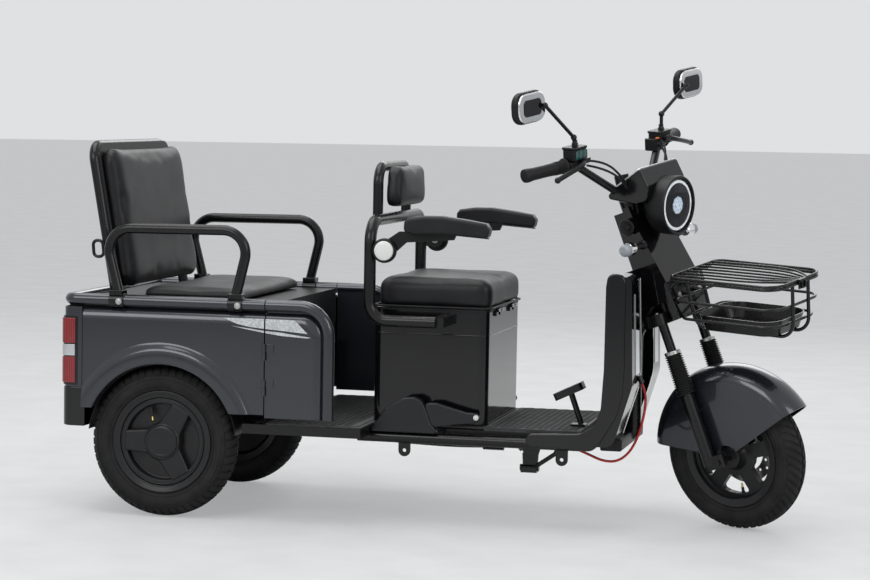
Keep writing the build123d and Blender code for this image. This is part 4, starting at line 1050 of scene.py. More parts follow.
def stuffed(name, node, body, inset, cap, rests_on, settings):
    """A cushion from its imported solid: set in, remeshed, swollen by cloth pressure, held to a cap and smoothed."""
    low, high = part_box(node)
    centre = (low + high) / 2
    size = high - low
    piece = bpy.data.objects.new(name, frame["nodes"][node].data.copy())
    bpy.context.scene.collection.objects.link(piece)
    edit(piece)
    bpy.ops.mesh.remove_doubles(threshold=0.02 * MM)
    bpy.ops.object.mode_set(mode="OBJECT")
    shrink = Matrix.Diagonal((*[(side - 2 * inset * MM) / side for side in size], 1))
    piece.data.transform(Matrix.Translation(centre) @ shrink @ Matrix.Translation(-centre))
    voxel = settings.voxel * 1
    apply(piece, "REMESH", mode="VOXEL", voxel_size=voxel * MM)
    start = [vertex.co.copy() for vertex in piece.data.vertices]
    choose(piece)
    cloth = piece.modifiers.new("cloth", "CLOTH")
    cloth.settings.quality = 5
    cloth.settings.mass = 0.3
    cloth.settings.tension_stiffness = 25
    cloth.settings.compression_stiffness = 25
    cloth.settings.shear_stiffness = 12
    cloth.settings.bending_stiffness = 2
    cloth.settings.use_pressure = True
    cloth.settings.uniform_pressure_force = 4
    cloth.settings.effector_weights.gravity = 0
    cloth.point_cache.frame_start = 1
    cloth.point_cache.frame_end = 20
    for number in range(1, 21):
        bpy.context.scene.frame_set(number)
    bpy.ops.object.modifier_apply(modifier=cloth.name)
    bpy.context.scene.frame_set(1)
    for vertex, rest in zip(piece.data.vertices, start):
        move = vertex.co - rest
        against = move.dot(rests_on)
        if against > 0:
            move -= rests_on * against
        if move.length > cap * MM:
            move = move.normalized() * cap * MM
        vertex.co = rest + move
    apply(piece, "SMOOTH", factor=0.5, iterations=6)
    apply(piece, "SUBSURF", levels=1, render_levels=1)
    finished(piece, body, "black_vinyl", (node,), sharp=80)
    return piece


class TRIKE_OT_cushions(bpy.types.Operator):
    """Make the padded seats and backs"""

    bl_idname = "trike.cushions"
    bl_label = "Cushions"

    def execute(self, context):
        settings = context.scene.tricycle
        down = -UPWARD
        back = -FORWARD
        lean = Vector((-cos(BACK_LEAN), 0, -sin(BACK_LEAN)))
        for name, node, body, inset, cap, rests_on, fill in (
            ("bench_cushion", "rear_cushion", "chassis", 3, 9, down, 0.7),
            ("bench_back", "rear_back_pad", "chassis", 4, 10, lean, 0.7),
            ("rider_cushion", "seat_cushion", "seat_lid", 3, 9, down, 0.8),
            ("rider_back", "seat_back_pad", "chassis", 3, 7, back, 0.7),
        ):
            stuffed(name, node, body, inset, cap, rests_on, settings)
        return {"FINISHED"}


ARM_PAD = (
    # along and up round the side of a pad
    (660, 794), (661, 820), (670, 831), (713, 837.5), (765, 838), (832, 829.5), (884, 821), (894, 806), (889, 782),
    (833, 786), (766, 791), (725, 789), (690, 787),
)
PIVOT = (602, 741)    # along and up
ARM_FACE = 297.3    # out from the middle


class TRIKE_OT_armrests(bpy.types.Operator):
    """Make the armrests' pads, their pivots' bosses and caps, and their bolts"""

    bl_idname = "trike.armrests"
    bl_label = "Armrests"

    def execute(self, context):
        for name, side in SIDES.items():
            body = f"armrest_{name}"
            out = Vector((0, side, 0))
            pad = plate(f"arm_pad_{name}", [at(x, side * 288.6, z) for x, z in ARM_PAD], out * 47.4 * MM)
            soften(pad, 9, 5, 60)
            finished(pad, body, "black_vinyl", (f"armrest_pad_{name}",), sharp=80)
            seam = tube(f"arm_seam_{name}", [at(x, side * 313, z - 0.6) for x, z in ARM_PAD[8:12]], 1.6, smooth=3)
            finished(seam, body, "seam_thread")
            boss = turned(
                f"arm_boss_{name}", at(PIVOT[0], side * ARM_FACE, PIVOT[1]), out,
                [(0, -1), (32, -1), (33, 1), (33, 9), (31, 13), (28, 14), (27, 12), (0, 12)], steps=48,
            )
            finished(boss, body, "moulded_black", sharp=40)
            cap = turned(
                f"arm_cap_{name}", at(PIVOT[0], side * ARM_FACE, PIVOT[1]), out,
                [(0, 11), (26, 11), (26, 15), (24.5, 17), (18, 18.6), (0, 19.4)], steps=48,
            )
            finished(cap, body, "pale_cap", sharp=50)
            screw = bolt(f"arm_bolt_{name}", at(PIVOT[0], side * 276.5, PIVOT[1]), -out, 6)
            finished(screw, body, "zinc_steel")
        return {"FINISHED"}


BOX = (549.5, 868.5, 208.5)    # rear face, front face, half width


class TRIKE_OT_seat_box_trim(bpy.types.Operator):
    """Make the seat box's band and screws, and the piping of the rider's cushion"""

    bl_idname = "trike.seat_box_trim"
    bl_label = "Seat box trim"

    def execute(self, context):
        rear, front, half = BOX
        for name, z, radius, proud, body, finish in (
            ("box_band", 513, 2.0, 0, "chassis", "gloss_black"),
            ("cushion_piping", 587, 3.0, 2, "seat_lid", "seam_thread"),
        ):
            corners = [
                at(rear - proud * 0.2, -half - proud, z), at(front + proud * 2.8, -half - proud, z),
                at(front + proud * 2.8, half + proud, z), at(rear - proud * 0.2, half + proud, z),
            ]
            trim_line = tube(name, corners, radius, 30, closed=True)
            finished(trim_line, body, finish)
        screws = [bolt(f"box_screw_{y}", at(front, y, 566), FORWARD, 4) for y in (-116, 116)]
        finished(join("box_screws", screws), "chassis", "zinc_steel")
        return {"FINISHED"}


# Floor, mouldings and leg shield

HUMP = (
    # along and up round the main moulding beside the seat box
    (555, 249.5), (567, 266), (600, 314), (621, 327), (650, 344), (679, 347), (699, 339), (712, 315), (727, 276),
    (752, 249.5),
)
ARM = (
    # and round the arm ahead of it
    (704, 332), (741, 333), (780, 322), (824, 311), (851, 309), (862, 296), (846, 282), (794, 276), (722, 264),
)
SKIRT = (
    # along and up round the moulding that runs from the sill up the leg shield's edge
    (985, 228), (1164, 221), (1184, 240), (1229, 318), (1243, 373), (1247, 450), (1246, 694), (1198, 697),
    (1193, 660), (1192, 440), (1186, 336), (1171, 295), (1131, 268), (985, 262),
)


def studded_mat(name, rear, front, half, top):
    """A thin mat with rows of raised lozenges."""
    base = plate(
        f"{name}_base",
        rounded([at(rear, -half, top), at(front, -half, top), at(front, half, top), at(rear, half, top)], 14, True),
        Vector((0, 0, 1.6 * MM)),
    )
    pieces = [base]
    pitch_x, pitch_y = 34, 20
    for shift in (0, 0.5):
        x = rear + 16 + shift * pitch_x
        y = -half + 12 + shift * pitch_y
        stud = plate(
            f"{name}_stud",
            [at(x - 11, y, top + 1), at(x, y - 4.5, top + 1), at(x + 11, y, top + 1), at(x, y + 4.5, top + 1)],
            Vector((0, 0, 1.9 * MM)),
        )
        for axis, pitch, span in ((0, pitch_x, front - x - 14), (1, pitch_y, half - y - 8)):
            step = [0, 0, 0]
            step[axis] = pitch * MM
            apply(
                stud, "ARRAY", count=int(span / pitch) + 1, use_relative_offset=False, use_constant_offset=True,
                constant_offset_displace=step,
            )
        pieces.append(stud)
    return join(name, pieces)


class TRIKE_OT_floor(bpy.types.Operator):
    """Make the studded mats and the mouldings along the sills"""

    bl_idname = "trike.floor"
    bl_label = "Floor"

    def execute(self, context):
        foot = studded_mat("foot_mat", 871, 1128, 236, 270)
        finished(foot, "chassis", "floor_mat")
        load = studded_mat("load_mat", 298, 548, 352, 270)
        finished(load, "chassis", "floor_mat")
        humps = []
        skirts = []
        for name, side in SIDES.items():
            out = Vector((0, side, 0))
            for label, points, inner, thick in (("hump", HUMP, 238, 25), ("arm", ARM, 240, 17)):
                run = rounded([at(x, side * inner, z) for x, z in points], 12, closed=True, steps=3)
                humps.append(plate(f"{label}_{name}", run, out * thick * MM))
            run = rounded([at(x, side * 233, z) for x, z in SKIRT], 40, closed=True, steps=5)
            skirts.append(plate(f"skirt_{name}", run, out * 22 * MM))
        finished(
            join("sill_humps", humps), "chassis", "moulded_satin", ("side_mouldings",),
            bevel=5, segments=3, sharp=50,
        )
        finished(join("shield_skirts", skirts), "chassis", "gloss_black", bevel=7, segments=4, sharp=50)
        clips = [
            bolt(f"moulding_clip_{name}", at(850, side * 257, 298), Vector((0, side, 0)), 5)
            for name, side in SIDES.items()
        ]
        finished(join("moulding_clips", clips), "chassis", "pale_cap")
        box = block("shield_foot_box", at(1208, -20, 236), (58, 380, 34))
        finished(box, "chassis", "moulded_black", bevel=5, segments=3)
        rods = [
            cable("brake_rod", [at(560, -150, 212), at(700, -150, 205), at(850, -150, 206), at(938, -150, 214)], 3.4),
            turned(
                "rod_spring", at(846, -150, 206), FORWARD,
                [(0, 0)] + [(8 if step % 2 else 5.5, 2 + step * 3) for step in range(20)] + [(0, 62)], steps=16,
            ),
            tube("stand_stay", [at(992, -150, 158), at(1052, -168, 200), at(1060, -170, 226)], 6, 14),
            tube("stand_foot", [at(952, -150, 156), at(1004, -150, 156)], 9),
            cable("loom_a", [at(540, -120, 236), at(640, -128, 214), at(760, -120, 222), at(900, -126, 212),
                             at(992, -120, 232)], 4.5),
            cable("loom_b", [at(540, -160, 236), at(660, -166, 220), at(800, -160, 214), at(930, -168, 226),
                             at(992, -160, 236)], 3.2),
        ]
        finished(join("underfloor_rods", rods), "chassis", "powder_black")
        return {"FINISHED"}


class TRIKE_OT_leg_shield(bpy.types.Operator):
    """Make the bright strips on the leg shield"""

    bl_idname = "trike.leg_shield"
    bl_label = "Leg shield"

    def execute(self, context):
        for name, side in SIDES.items():
            edge = tube(
                f"shield_edge_{name}",
                [
                    at(1262, side * 112, 678), at(1268, side * 112, 500), at(1270, side * 113, 400),
                    at(1222, side * 113, 246),
                ],
                2.2, [200, 200], smooth=3,
            )
            finished(edge, "chassis", "bright_chrome")
        return {"FINISHED"}


# Brake cable

CABLE_ROUTE = (
    (1012.9, -150, 236), (1050, -150, 230), (1095, -150, 217), (1137, -150, 201), (1177, -150, 184), (1217, -150, 184),
    (1249, -150, 209), (1269, -150, 247), (1282, -150, 290), (1290, -150, 334), (1290, -150, 372), (1279, -150, 398),
)


class TRIKE_OT_brake_cable(bpy.types.Operator):
    """Make the red brake cable that hangs between the floor and the leg shield"""

    bl_idname = "trike.brake_cable"
    bl_label = "Brake cable"

    def execute(self, context):
        line = bpy.data.curves.new("red_cable", "CURVE")
        line.dimensions = "3D"
        spline = line.splines.new("NURBS")
        spline.points.add(len(CABLE_ROUTE) - 1)
        for corner, point in zip(spline.points, CABLE_ROUTE):
            corner.co = (*at(*point), 1)
        spline.order_u = 3
        spline.use_endpoint_u = True
        spline.resolution_u = 12
        line.bevel_depth = 3.5 * MM
        line.bevel_resolution = 5
        line.use_fill_caps = True
        piece = bpy.data.objects.new("red_cable", line)
        bpy.context.scene.collection.objects.link(piece)
        line.materials.append(SURFACES["red_sheath"])
        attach(piece, "chassis")
        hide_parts("brake_cable")
        return {"FINISHED"}


# Front end

class TRIKE_OT_fender(bpy.types.Operator):
    """Make the front fender"""

    bl_idname = "trike.fender"
    bl_label = "Front fender"

    def execute(self, context):
        centre = at(WHEELBASE + 8, 0, 212)
        radius, half, drop, low, skin = 248, 61, 42, 34, 3
        front = radians(37.5)
        out = Vector((cos(front), 0, sin(front)))
        section = [(half, low), (half, 120), (half, 170), (half, radius - drop)]
        for step in range(1, 12):
            swing = step * pi / 24
            section.append((half * cos(swing) ** 0.9, radius - drop + drop * sin(swing) ** 1.1))
        section.append((0, radius))
        section += [(-across, up) for across, up in reversed(section[:-1])]
        points = [centre + out * up * MM + Vector((0, across * MM, 0)) for across, up in section]
        fender = spun("front_fender_skin", points, centre, LEFT, steps=72, sweep=radians(140))
        face_out(fender, UPWARD)
        apply(fender, "SOLIDIFY", thickness=skin * MM, offset=-1)
        finished(fender, "steering", "graphite_paint", ("front_fender",), bevel=0.8, sharp=40)
        return {"FINISHED"}


LAMP = at(1370, 0, 879)


class TRIKE_OT_headlight(bpy.types.Operator):
    """Make the round headlight with its ring"""

    bl_idname = "trike.headlight"
    bl_label = "Headlight"

    def execute(self, context):
        shell = turned(
            "headlight_shell", LAMP, FORWARD,
            [
                (0, -92), (30, -90), (44, -84), (60, -72), (74, -58), (79, -46), (80, -30), (80, -3), (79, 0.5),
                (76.5, 2), (74, 1), (73, -3), (73, -10), (70, -12), (0, -12),
            ],
            steps=96,
        )
        finished(shell, "steering", "moulded_black", ("headlight",), sharp=30)
        bowl = turned(
            "headlight_bowl", LAMP, FORWARD,
            [
                (72.6, -11.4), (72.6, -6), (70, -5.4), (68, -7), (60, -10.8), (42, -11.2), (33, -9), (31, -6.4),
                (29, -6.6), (27, -10), (0, -10.4),
            ],
            steps=96,
        )
        finished(bowl, "steering", "lamp_bowl", sharp=30)
        ring = turned(
            "headlight_ring", LAMP, FORWARD,
            [(67.5, -6.6), (66.5, -4.4), (63.5, -3.6), (60.5, -4.4), (59.5, -6.6), (63.5, -7.6)],
            steps=96, closed=True,
        )
        finished(ring, "steering", "lamp_ring")
        projector = turned(
            "headlight_projector", LAMP, FORWARD,
            [(0, -10.6), (24, -10.6), (24, -7), (21, -4.2), (13, -2.6), (5, -2), (0, -2)], steps=9,
        )
        # the projector's finish carries painted glints on its facets
        finished(projector, "steering", "projector_painted_glints", bevel=0.6, sharp=12)
        lens = turned(
            "headlight_glass", LAMP, FORWARD,
            [(72.4, -4.4), (72.4, -2.8), (60, -1.0), (40, 0.4), (20, 1.2), (0, 1.5), (0, 0.3), (20, 0), (40, -0.8),
             (60, -2.2)],
            steps=96,
        )
        finished(lens, "steering", "clear_lens", ("headlight_lens",), sharp=50)
        return {"FINISHED"}


GRIP_END = (1128, 362, 1003)
RISE = (1176, 205, 1012)


class TRIKE_OT_gaiters(bpy.types.Operator):
    """Make the ribbed gaiters of the fork and their clamps"""

    bl_idname = "trike.gaiters"
    bl_label = "Gaiters"

    def execute(self, context):
        ribbed = []
        clamps = []
        ridges = 18
        high = 112
        pitch = high / ridges
        for name, side in SIDES.items():
            foot = head(173, 38, side * 87)
            profile = [(13.2, 0)]
            for ridge in range(ridges):
                swell = 25.4 - 2 * ridge / ridges
                profile += [
                    (swell - 4.5, ridge * pitch + 0.6), (swell, ridge * pitch + 0.36 * pitch),
                    (swell, ridge * pitch + 0.64 * pitch), (swell - 4.5, ridge * pitch + pitch - 0.6),
                ]
            profile.append((13.2, high))
            ribbed.append(turned(f"gaiter_{name}", foot, UP, profile, steps=40, closed=True))
            clamps.append(turned(
                f"gaiter_clamp_{name}", foot, UP,
                [(13.4, high), (21, high), (22, high + 1), (22, high + 9), (21, high + 10), (13.4, high + 10)],
                steps=40, closed=True,
            ))
        finished(join("ribbed_gaiters", ribbed), "steering", "soft_rubber", ("fork_gaiters",))
        finished(join("gaiter_clamps", clamps), "steering", "zinc_steel")
        return {"FINISHED"}


class TRIKE_OT_cowl(bpy.types.Operator):
    """Make the dash cowl with its screen, the turn signals and the horn"""

    bl_idname = "trike.cowl"
    bl_label = "Cowl"

    def execute(self, context):
        wedge = ((1192, 900), (1220, 928), (1308, 990), (1334, 940), (1326, 902), (1290, 890))
        half = 92
        shell = plate(
            "dash_cowl",
            rounded([at(x, -half, z) for x, z in wedge], [12, 20, 6, 30, 20, 20], closed=True, steps=4),
            Vector((0, 2 * half * MM, 0)),
        )
        finished(shell, "steering", "gloss_black", ("display",), bevel=8, segments=4, sharp=50)
        slope = Vector((88, 0, 62)).normalized()
        face = Vector((-62, 0, 88)).normalized()
        screen = panel("dash_screen", at(1264, 0, 959) - face * 0.5 * MM, (150, 84), 12, LEFT, -slope, 2)
        finished(screen, "steering", "display_screen", bevel=0.8, sharp=50)
        edge = tube(
            "dash_edge",
            [at(1224, -half + 4, 931), at(1305, -half + 4, 988), at(1305, half - 4, 988), at(1224, half - 4, 931)],
            2.2, 8,
        )
        finished(edge, "steering", "lamp_silver")
        neck = tube("dash_neck", [head(758, 0, 0), head(790, 4, 0)], 20)
        finished(neck, "steering", "moulded_black")
        bodies = []
        lenses = []
        stalks = []
        for name, side in SIDES.items():
            out = Vector((0, side, 0))
            foot = at(1303, side * 126, 780)
            stalks.append(turned(
                f"signal_stalk_{name}", at(1303, side * 78, 780), out,
                [(0, 0), (13, 0), (13, 4), (9, 8), (8, 46), (12, 50), (0, 50)], steps=24,
            ))
            bodies.append(turned(
                f"signal_body_{name}", foot, out,
                [(0, -3), (9, -3), (14, 0), (17.4, 6), (18, 12), (18, 27), (16.6, 28), (0, 28)], steps=40,
            ))
            lenses.append(turned(
                f"signal_lens_{name}", foot, out,
                [(0, 27), (16.4, 27), (17.4, 29), (17.2, 38), (15.6, 45), (11.5, 48.8), (0, 50)], steps=40,
            ))
        finished(join("signal_stalks", stalks), "steering", "moulded_black", ("turn_signals",))
        finished(join("signal_bodies", bodies), "steering", "bright_chrome")
        finished(join("signal_lenses", lenses), "steering", "fluted_lens")
        horn = turned(
            "horn", at(1262, -85, 826), -LEFT,
            [(0, -1), (12, -1), (22, 6), (23, 9), (21, 11), (10, 9), (8, 13), (0, 14)], steps=40,
        )
        finished(horn, "steering", "moulded_black")
        return {"FINISHED"}


MIRROR_HEIGHTS = {"right": 1190, "left": 1148}


class TRIKE_OT_mirrors(bpy.types.Operator):
    """Make the mirrors: stalk, housing, bright surround, dark centre and glass"""

    bl_idname = "trike.mirrors"
    bl_label = "Mirrors"

    def execute(self, context):
        parts = {"housings": [], "bezels": [], "centres": [], "glasses": [], "stalks": []}
        for name, side in SIDES.items():
            base = at(1184, side * 208, 1062 if name == "right" else 1040)
            joint = at(1166, side * 330, MIRROR_HEIGHTS[name])
            face = joint + mm(-2, side * 52, 0)
            elbow = at(1184, side * 212, 1086)
            mount = joint + mm(20, side * 8, 0)
            nut = [(0, -2), (9, -2), (9, 8), (7, 10), (7, 18), (0, 18)]
            parts["stalks"] += [
                tube(f"stalk_{name}", [base, elbow, mount], 5, 14),
                turned(f"stalk_nut_{name}", base, UPWARD, nut, steps=6),
                ball(f"stalk_ball_{name}", elbow, 8.5), ball(f"mirror_ball_{name}", mount, 8),
            ]
            for key, size, corner, start, thick in (
                ("housings", (124, 84), 32, -13, 22), ("bezels", (116, 76), 29, 8, 6),
                ("centres", (76, 44), 12, 13, 3),
            ):
                parts[key].append(
                    panel(f"{key}_{name}", face + FORWARD * start * MM, size, corner, LEFT, UPWARD, thick)
                )
            parts["glasses"].append(
                panel(f"glass_{name}", face - FORWARD * 12 * MM, (112, 72), 27, -LEFT, UPWARD, 2.2)
            )
        for key, finish, bevel in (
            ("housings", "moulded_black", 8), ("bezels", "bright_chrome", 4), ("centres", "gloss_black", 1.5),
            ("glasses", "mirror_glass", 0.4), ("stalks", "powder_black", 0),
        ):
            replaces = ("mirrors",) if key == "housings" else ()
            finished(join(f"mirror_{key}", parts[key]), "steering", finish, replaces, bevel, segments=4, sharp=50)
        return {"FINISHED"}


class TRIKE_OT_bar_fittings(bpy.types.Operator):
    """Make the grips, the brake perches with their levers, the switches and the cables"""

    bl_idname = "trike.bar_fittings"
    bl_label = "Bar fittings"

    def execute(self, context):
        grips = []
        perches = []
        windows = []
        levers = []
        for name, side in SIDES.items():
            rise = at(RISE[0], side * RISE[1], RISE[2])
            end = at(GRIP_END[0], side * GRIP_END[1], GRIP_END[2])
            run = (end - rise).normalized()
            profile = [(11.2, 30), (22, 30), (23, 32), (22, 36), (18, 38)]
            for ridge in range(9):
                profile += [(18, 40 + ridge * 3), (16.6, 41 + ridge * 3), (16.6, 42 + ridge * 3), (18, 43 + ridge * 3)]
            profile += [(17, 70), (16.4, 100), (17, 140), (18.4, 152), (18.8, 160), (17.5, 166), (12, 168), (0, 168)]
            profile.append((0, 150))
            grips.append(turned(f"grip_{name}", rise, run, profile + [(11.2, 150)], steps=40, closed=True))
            perches.append(turned(
                f"perch_clamp_{name}", rise, run,
                [(11.2, -16), (18, -16), (19.5, -14), (19.5, 22), (18, 25), (11.2, 25)], steps=32, closed=True,
            ))
            reservoir = name == "right"
            top = rise + mm(4, 0, 33 if reservoir else 14)
            body = panel(f"perch_{name}", top - mm(0, 0, 20), (58, 44), 10, LEFT, -FORWARD, 30)
            lid = panel(f"perch_lid_{name}", top + mm(0, 0, 9), (62, 48), 10, LEFT, -FORWARD, 7)
            for piece in (body, lid):
                soften(piece, 2.5, 3, 50)
            perches += [body, lid]
            if reservoir:
                windows.append(panel(f"window_{name}", top + mm(21.4, 0, -5), (50, 24), 5, LEFT, UPWARD, 2))
            lever_run = [
                rise + mm(12, -side * 20, 18), rise + mm(44, side * 2, 8),
                rise + mm(40, side * 60, -6), rise + mm(30, side * 118, -22),
            ]
            levers += [
                cable(f"lever_{name}", lever_run, 7.2), ball(f"lever_end_{name}", lever_run[-1], 8.5),
                block(f"lever_pivot_{name}", rise + mm(26, -side * 8, 12), (30, 26, 14)),
            ]
        finished(join("bar_grips", grips), "steering", "soft_rubber", ("grips",))
        finished(join("brake_perches", perches), "steering", "moulded_black", ("controls",))
        finished(join("fluid_windows", windows), "steering", "sight_glass")
        finished(join("brake_levers", levers), "steering", "powder_black", bevel=1.5)
        button = turned(
            "start_button", at(1192, 176, 1020), Vector((-0.4, 0, 0.9)),
            [(0, -6), (7, -6), (7, 4), (5.5, 6), (0, 6.4)], steps=20,
        )
        finished(button, "steering", "orange_button")
        switch = panel("switch_box", at(1180, 176, 990), (44, 40), 9, LEFT, -FORWARD, 34)
        finished(switch, "steering", "moulded_black", bevel=3, segments=3)
        lines = [
            cable(f"bar_cable_{number}", [at(*point) for point in points], 3.2) for number, points in enumerate(CABLES)
        ]
        finished(join("bar_cables", lines), "steering", "soft_rubber")
        return {"FINISHED"}


CABLES = (
    ((1190, -186, 1020), (1236, -150, 1018), (1264, -98, 960), (1272, -50, 880), (1258, -34, 800), (1262, -30, 730)),
    ((1196, -176, 1006), (1250, -140, 992), (1270, -84, 930), (1256, -52, 850), (1250, -40, 770)),
    ((1190, 186, 1020), (1236, 150, 1018), (1264, 98, 960), (1272, 50, 880), (1258, 34, 800), (1262, 30, 730)),
    ((1196, 176, 1006), (1250, 140, 992), (1270, 84, 930), (1256, 52, 850), (1250, 40, 770)),
)


class TRIKE_OT_basket_fittings(bpy.types.Operator):
    """Make the basket's lid of wires, its latch and the bolts of its plate"""

    bl_idname = "trike.basket_fittings"
    bl_label = "Basket fittings"

    def execute(self, context):
        latch = [
            block("latch_plate", at(1744, 0, 700), (5, 34, 26)),
            tube("latch_loop", [at(1749, -9, 706), at(1749, -9, 690), at(1749, 9, 690), at(1749, 9, 706)], 2.4, 4),
        ]
        finished(join("basket_latch", latch), "steering", "powder_black", bevel=1)
        bolts = [bolt(f"basket_bolt_{y}", head(433, 95, y), AHEAD, 5) for y in (-48, 48)]
        finished(join("basket_bolts", bolts), "steering", "zinc_steel")
        half, rear, ahead_edge, lid_z = 124, 1407, 1738, 709.1
        wires = [tube(
            "lid_rim",
            [at(rear, -half, lid_z), at(ahead_edge, -half, lid_z), at(ahead_edge, half, lid_z), at(rear, half, lid_z)],
            3.8, [30, 50, 50, 30], closed=True,
        )]
        for y in (-96, -64, -32, 0, 32, 64, 96):
            wires.append(cable(
                f"lid_wire_{y}",
                [
                    at(rear, y, lid_z), at(1500, y, lid_z + 2), at(1640, y, lid_z + 3), at(1700, y * 0.72, lid_z + 2),
                    at(ahead_edge, y * 0.42, lid_z),
                ],
                3,
            ))
        for y in (-64, 64):
            wires.append(turned(
                f"lid_eye_{y}", at(1405, y, 701), LEFT, [(4.6, -6), (9, -6), (9, 6), (4.6, 6)], steps=24,
                closed=True,
            ))
        finished(join("basket_lid_wires", wires), "basket_lid", "powder_black", ("basket_lid",))
        return {"FINISHED"}


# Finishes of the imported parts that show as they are

NODE_FINISHES = {
    "powder_black": (
        "frame", "seat_frame", "rear_back_frame", "grab_hoops", "rear_axle", "rear_suspension", "fork", "handlebar",
        "basket", "basket_tray", "brake_pedal",
    ),
    "moulded_black": ("seat_base", "armrest_right", "armrest_left", "body_tub"),
    "gloss_black": ("seat_box", "leg_shield", "front_cover"),
    "floor_mat": ("floor_plates",),
    "bright_chrome": ("shield_plates",),
    "battery_casing": ("battery",),
}


class TRIKE_OT_finishes(bpy.types.Operator):
    """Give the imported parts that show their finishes"""

    bl_idname = "trike.finishes"
    bl_label = "Finishes"

    def execute(self, context):
        for name, nodes in NODE_FINISHES.items():
            for node in nodes:
                part = frame["nodes"][node]
                part.data.materials.clear()
                part.data.materials.append(SURFACES[name])
        return {"FINISHED"}


class TRIKE_OT_surfaces(bpy.types.Operator):
    """Make every finish"""

    bl_idname = "trike.surfaces"
    bl_label = "Surfaces"

    def execute(self, context):
        make_surfaces(context.scene.tricycle)
        return {"FINISHED"}


# Stage

CAMERA_PLACE = (2300.6, -6855.6, 1137.5)
CAMERA_AZIMUTH = radians(13.376)
CAMERA_PITCH = radians(4.22)
CAMERA_ROLL = radians(1.01)
CAMERA_LENS = 105.2


def camera_axes():
    """The camera's right, up and backward directions."""
    forward = Vector((
        -sin(CAMERA_AZIMUTH) * cos(CAMERA_PITCH), cos(CAMERA_AZIMUTH) * cos(CAMERA_PITCH), -sin(CAMERA_PITCH),
    ))
    right = Vector((cos(CAMERA_AZIMUTH), sin(CAMERA_AZIMUTH), 0))
    upward = right.cross(forward)
    return (
        right * cos(CAMERA_ROLL) + upward * sin(CAMERA_ROLL),
        upward * cos(CAMERA_ROLL) - right * sin(CAMERA_ROLL),
        -forward,
    )


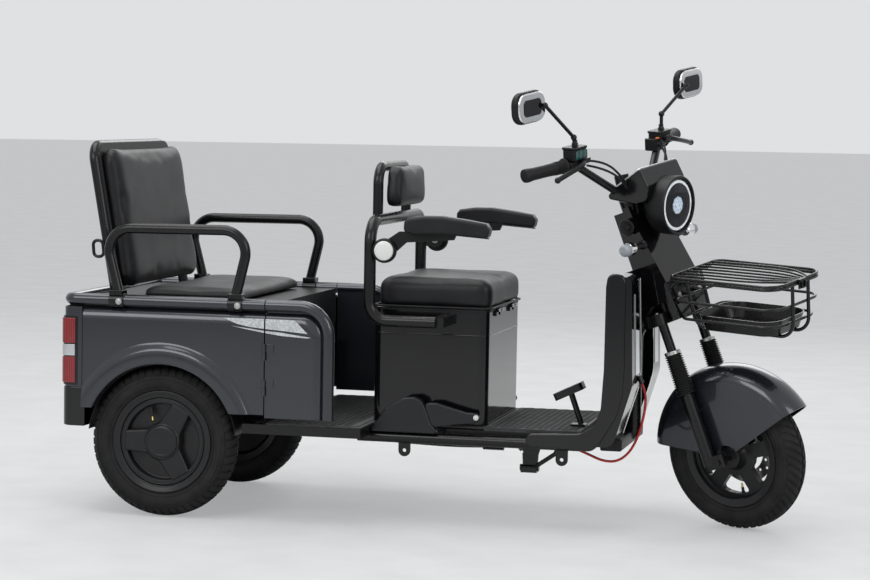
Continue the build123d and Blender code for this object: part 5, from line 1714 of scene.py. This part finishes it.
class TRIKE_OT_stage(bpy.types.Operator):
    """Make the floor, the lights, the sky and the camera"""

    bl_idname = "trike.stage"
    bl_label = "Stage"

    def execute(self, context):
        scene = context.scene
        scene.view_settings.view_transform = "Standard"
        deselect()
        bpy.ops.object.camera_add(location=at(*CAMERA_PLACE))
        camera = bpy.context.object
        right, upward, backward = camera_axes()
        turn = Matrix((right, upward, backward)).transposed().to_4x4()
        camera.matrix_world = Matrix.Translation(at(*CAMERA_PLACE)) @ turn
        camera.data.lens = CAMERA_LENS
        camera.data.sensor_width = 36
        scene.camera = camera

        deselect()
        bpy.ops.mesh.primitive_circle_add(vertices=96, radius=60, fill_type="NGON", location=(0, 0, -0.0005))
        ground = bpy.context.object
        ground.name = "studio_floor"
        pale = surface("pale_floor", scene.tricycle.floor, 0.62)
        blend_colour(
            pale, pattern(pale, NOISE, 5, 9), scaled(scene.tricycle.floor, 0.93),
            scaled(scene.tricycle.floor, 1.04),
        )
        nodes = pale.node_tree.nodes
        links = pale.node_tree.links
        even = nodes.new("ShaderNodeEmission")
        even.inputs["Color"].default_value = (0.72, 0.73, 0.74, 1)
        seen_by = nodes.new("ShaderNodeLightPath")
        part = nodes.new("ShaderNodeMath")
        part.operation = "MULTIPLY"
        part.inputs[1].default_value = 0.45
        links.new(seen_by.outputs["Is Camera Ray"], part.inputs[0])
        both = nodes.new("ShaderNodeMixShader")
        links.new(part.outputs[0], both.inputs["Fac"])
        links.new(nodes["Principled BSDF"].outputs[0], both.inputs[1])
        links.new(even.outputs[0], both.inputs[2])
        links.new(both.outputs[0], nodes["Material Output"].inputs["Surface"])
        ground.data.materials.append(pale)

        for name, place, size, power, aim in (
            ("softbox_top", (-300, -300, 4600), (4.6, 3.0), 120, (700, 0, 300)),
            ("softbox_side", (-1500, -5200, 3600), (3.2, 2.4), 90, (700, -200, 500)),
            ("softbox_front", (4600, -2600, 2600), (2.2, 2.2), 45, (1100, 0, 500)),
            ("softbox_back", (900, 4800, 3400), (4.0, 1.8), 55, (700, 0, 500)),
        ):
            deselect()
            bpy.ops.object.light_add(type="AREA", location=at(*place))
            light = bpy.context.object
            light.name = name
            light.data.shape = "RECTANGLE"
            light.data.size, light.data.size_y = size
            light.data.energy = power
            light.rotation_euler = (at(*aim) - at(*place)).to_track_quat("-Z", "Y").to_euler()

        sky = bpy.data.worlds.new("studio_sky")
        sky.use_nodes = True
        scene.world = sky
        nodes = sky.node_tree.nodes
        links = sky.node_tree.links
        ambient = nodes["Background"]
        ambient.inputs["Color"].default_value = (0.93, 0.96, 1.0, 1)
        ambient.inputs["Strength"].default_value = 0.52
        seen = nodes.new("ShaderNodeBackground")
        seen.inputs["Color"].default_value = (0.74, 0.75, 0.76, 1)
        seen.inputs["Strength"].default_value = 1.0
        path = nodes.new("ShaderNodeLightPath")
        straight = path.outputs["Is Camera Ray"]
        for ray in ("Is Glossy Ray", "Is Transmission Ray"):
            larger = nodes.new("ShaderNodeMath")
            larger.operation = "MAXIMUM"
            links.new(straight, larger.inputs[0])
            links.new(path.outputs[ray], larger.inputs[1])
            straight = larger.outputs[0]
        mix = nodes.new("ShaderNodeMixShader")
        links.new(straight, mix.inputs["Fac"])
        links.new(ambient.outputs[0], mix.inputs[1])
        links.new(seen.outputs[0], mix.inputs[2])
        links.new(mix.outputs[0], nodes["World Output"].inputs["Surface"])
        return {"FINISHED"}


class TRIKE_PT_tricycle(bpy.types.Panel):
    """Lists the tricycle's sizes, colours and pieces"""

    bl_label = "Tricycle"
    bl_idname = "TRIKE_PT_tricycle"
    bl_space_type = "VIEW_3D"
    bl_region_type = "UI"
    bl_category = "Tricycle"

    def draw(self, context):
        settings = context.scene.tricycle
        for key in settings.__annotations__:
            self.layout.prop(settings, key)
        for operator in OPERATORS:
            self.layout.operator(operator.bl_idname)


OPERATORS = (
    TRIKE_OT_surfaces, TRIKE_OT_stage, TRIKE_OT_brake_cable, TRIKE_OT_tyres, TRIKE_OT_wheels, TRIKE_OT_front_wheel,
    TRIKE_OT_body_sides, TRIKE_OT_stripes, TRIKE_OT_tail, TRIKE_OT_hoop_fittings, TRIKE_OT_cushions,
    TRIKE_OT_armrests, TRIKE_OT_seat_box_trim, TRIKE_OT_floor, TRIKE_OT_leg_shield, TRIKE_OT_fender,
    TRIKE_OT_gaiters, TRIKE_OT_headlight, TRIKE_OT_cowl, TRIKE_OT_mirrors, TRIKE_OT_bar_fittings,
    TRIKE_OT_basket_fittings, TRIKE_OT_finishes,
)


def register():
    """Add the settings, operators and panel."""
    for made in (TricycleSettings, *OPERATORS, TRIKE_PT_tricycle):
        bpy.utils.register_class(made)
    bpy.types.Scene.tricycle = PointerProperty(type=TricycleSettings)


def unregister():
    """Take them away again."""
    del bpy.types.Scene.tricycle
    for made in reversed((TricycleSettings, *OPERATORS, TRIKE_PT_tricycle)):
        bpy.utils.unregister_class(made)


def main():
    """Make every piece in order."""
    register()
    for operator in OPERATORS:
        group, action = operator.bl_idname.split(".")
        getattr(getattr(bpy.ops, group), action)()


if __name__ == "__main__":
    main()
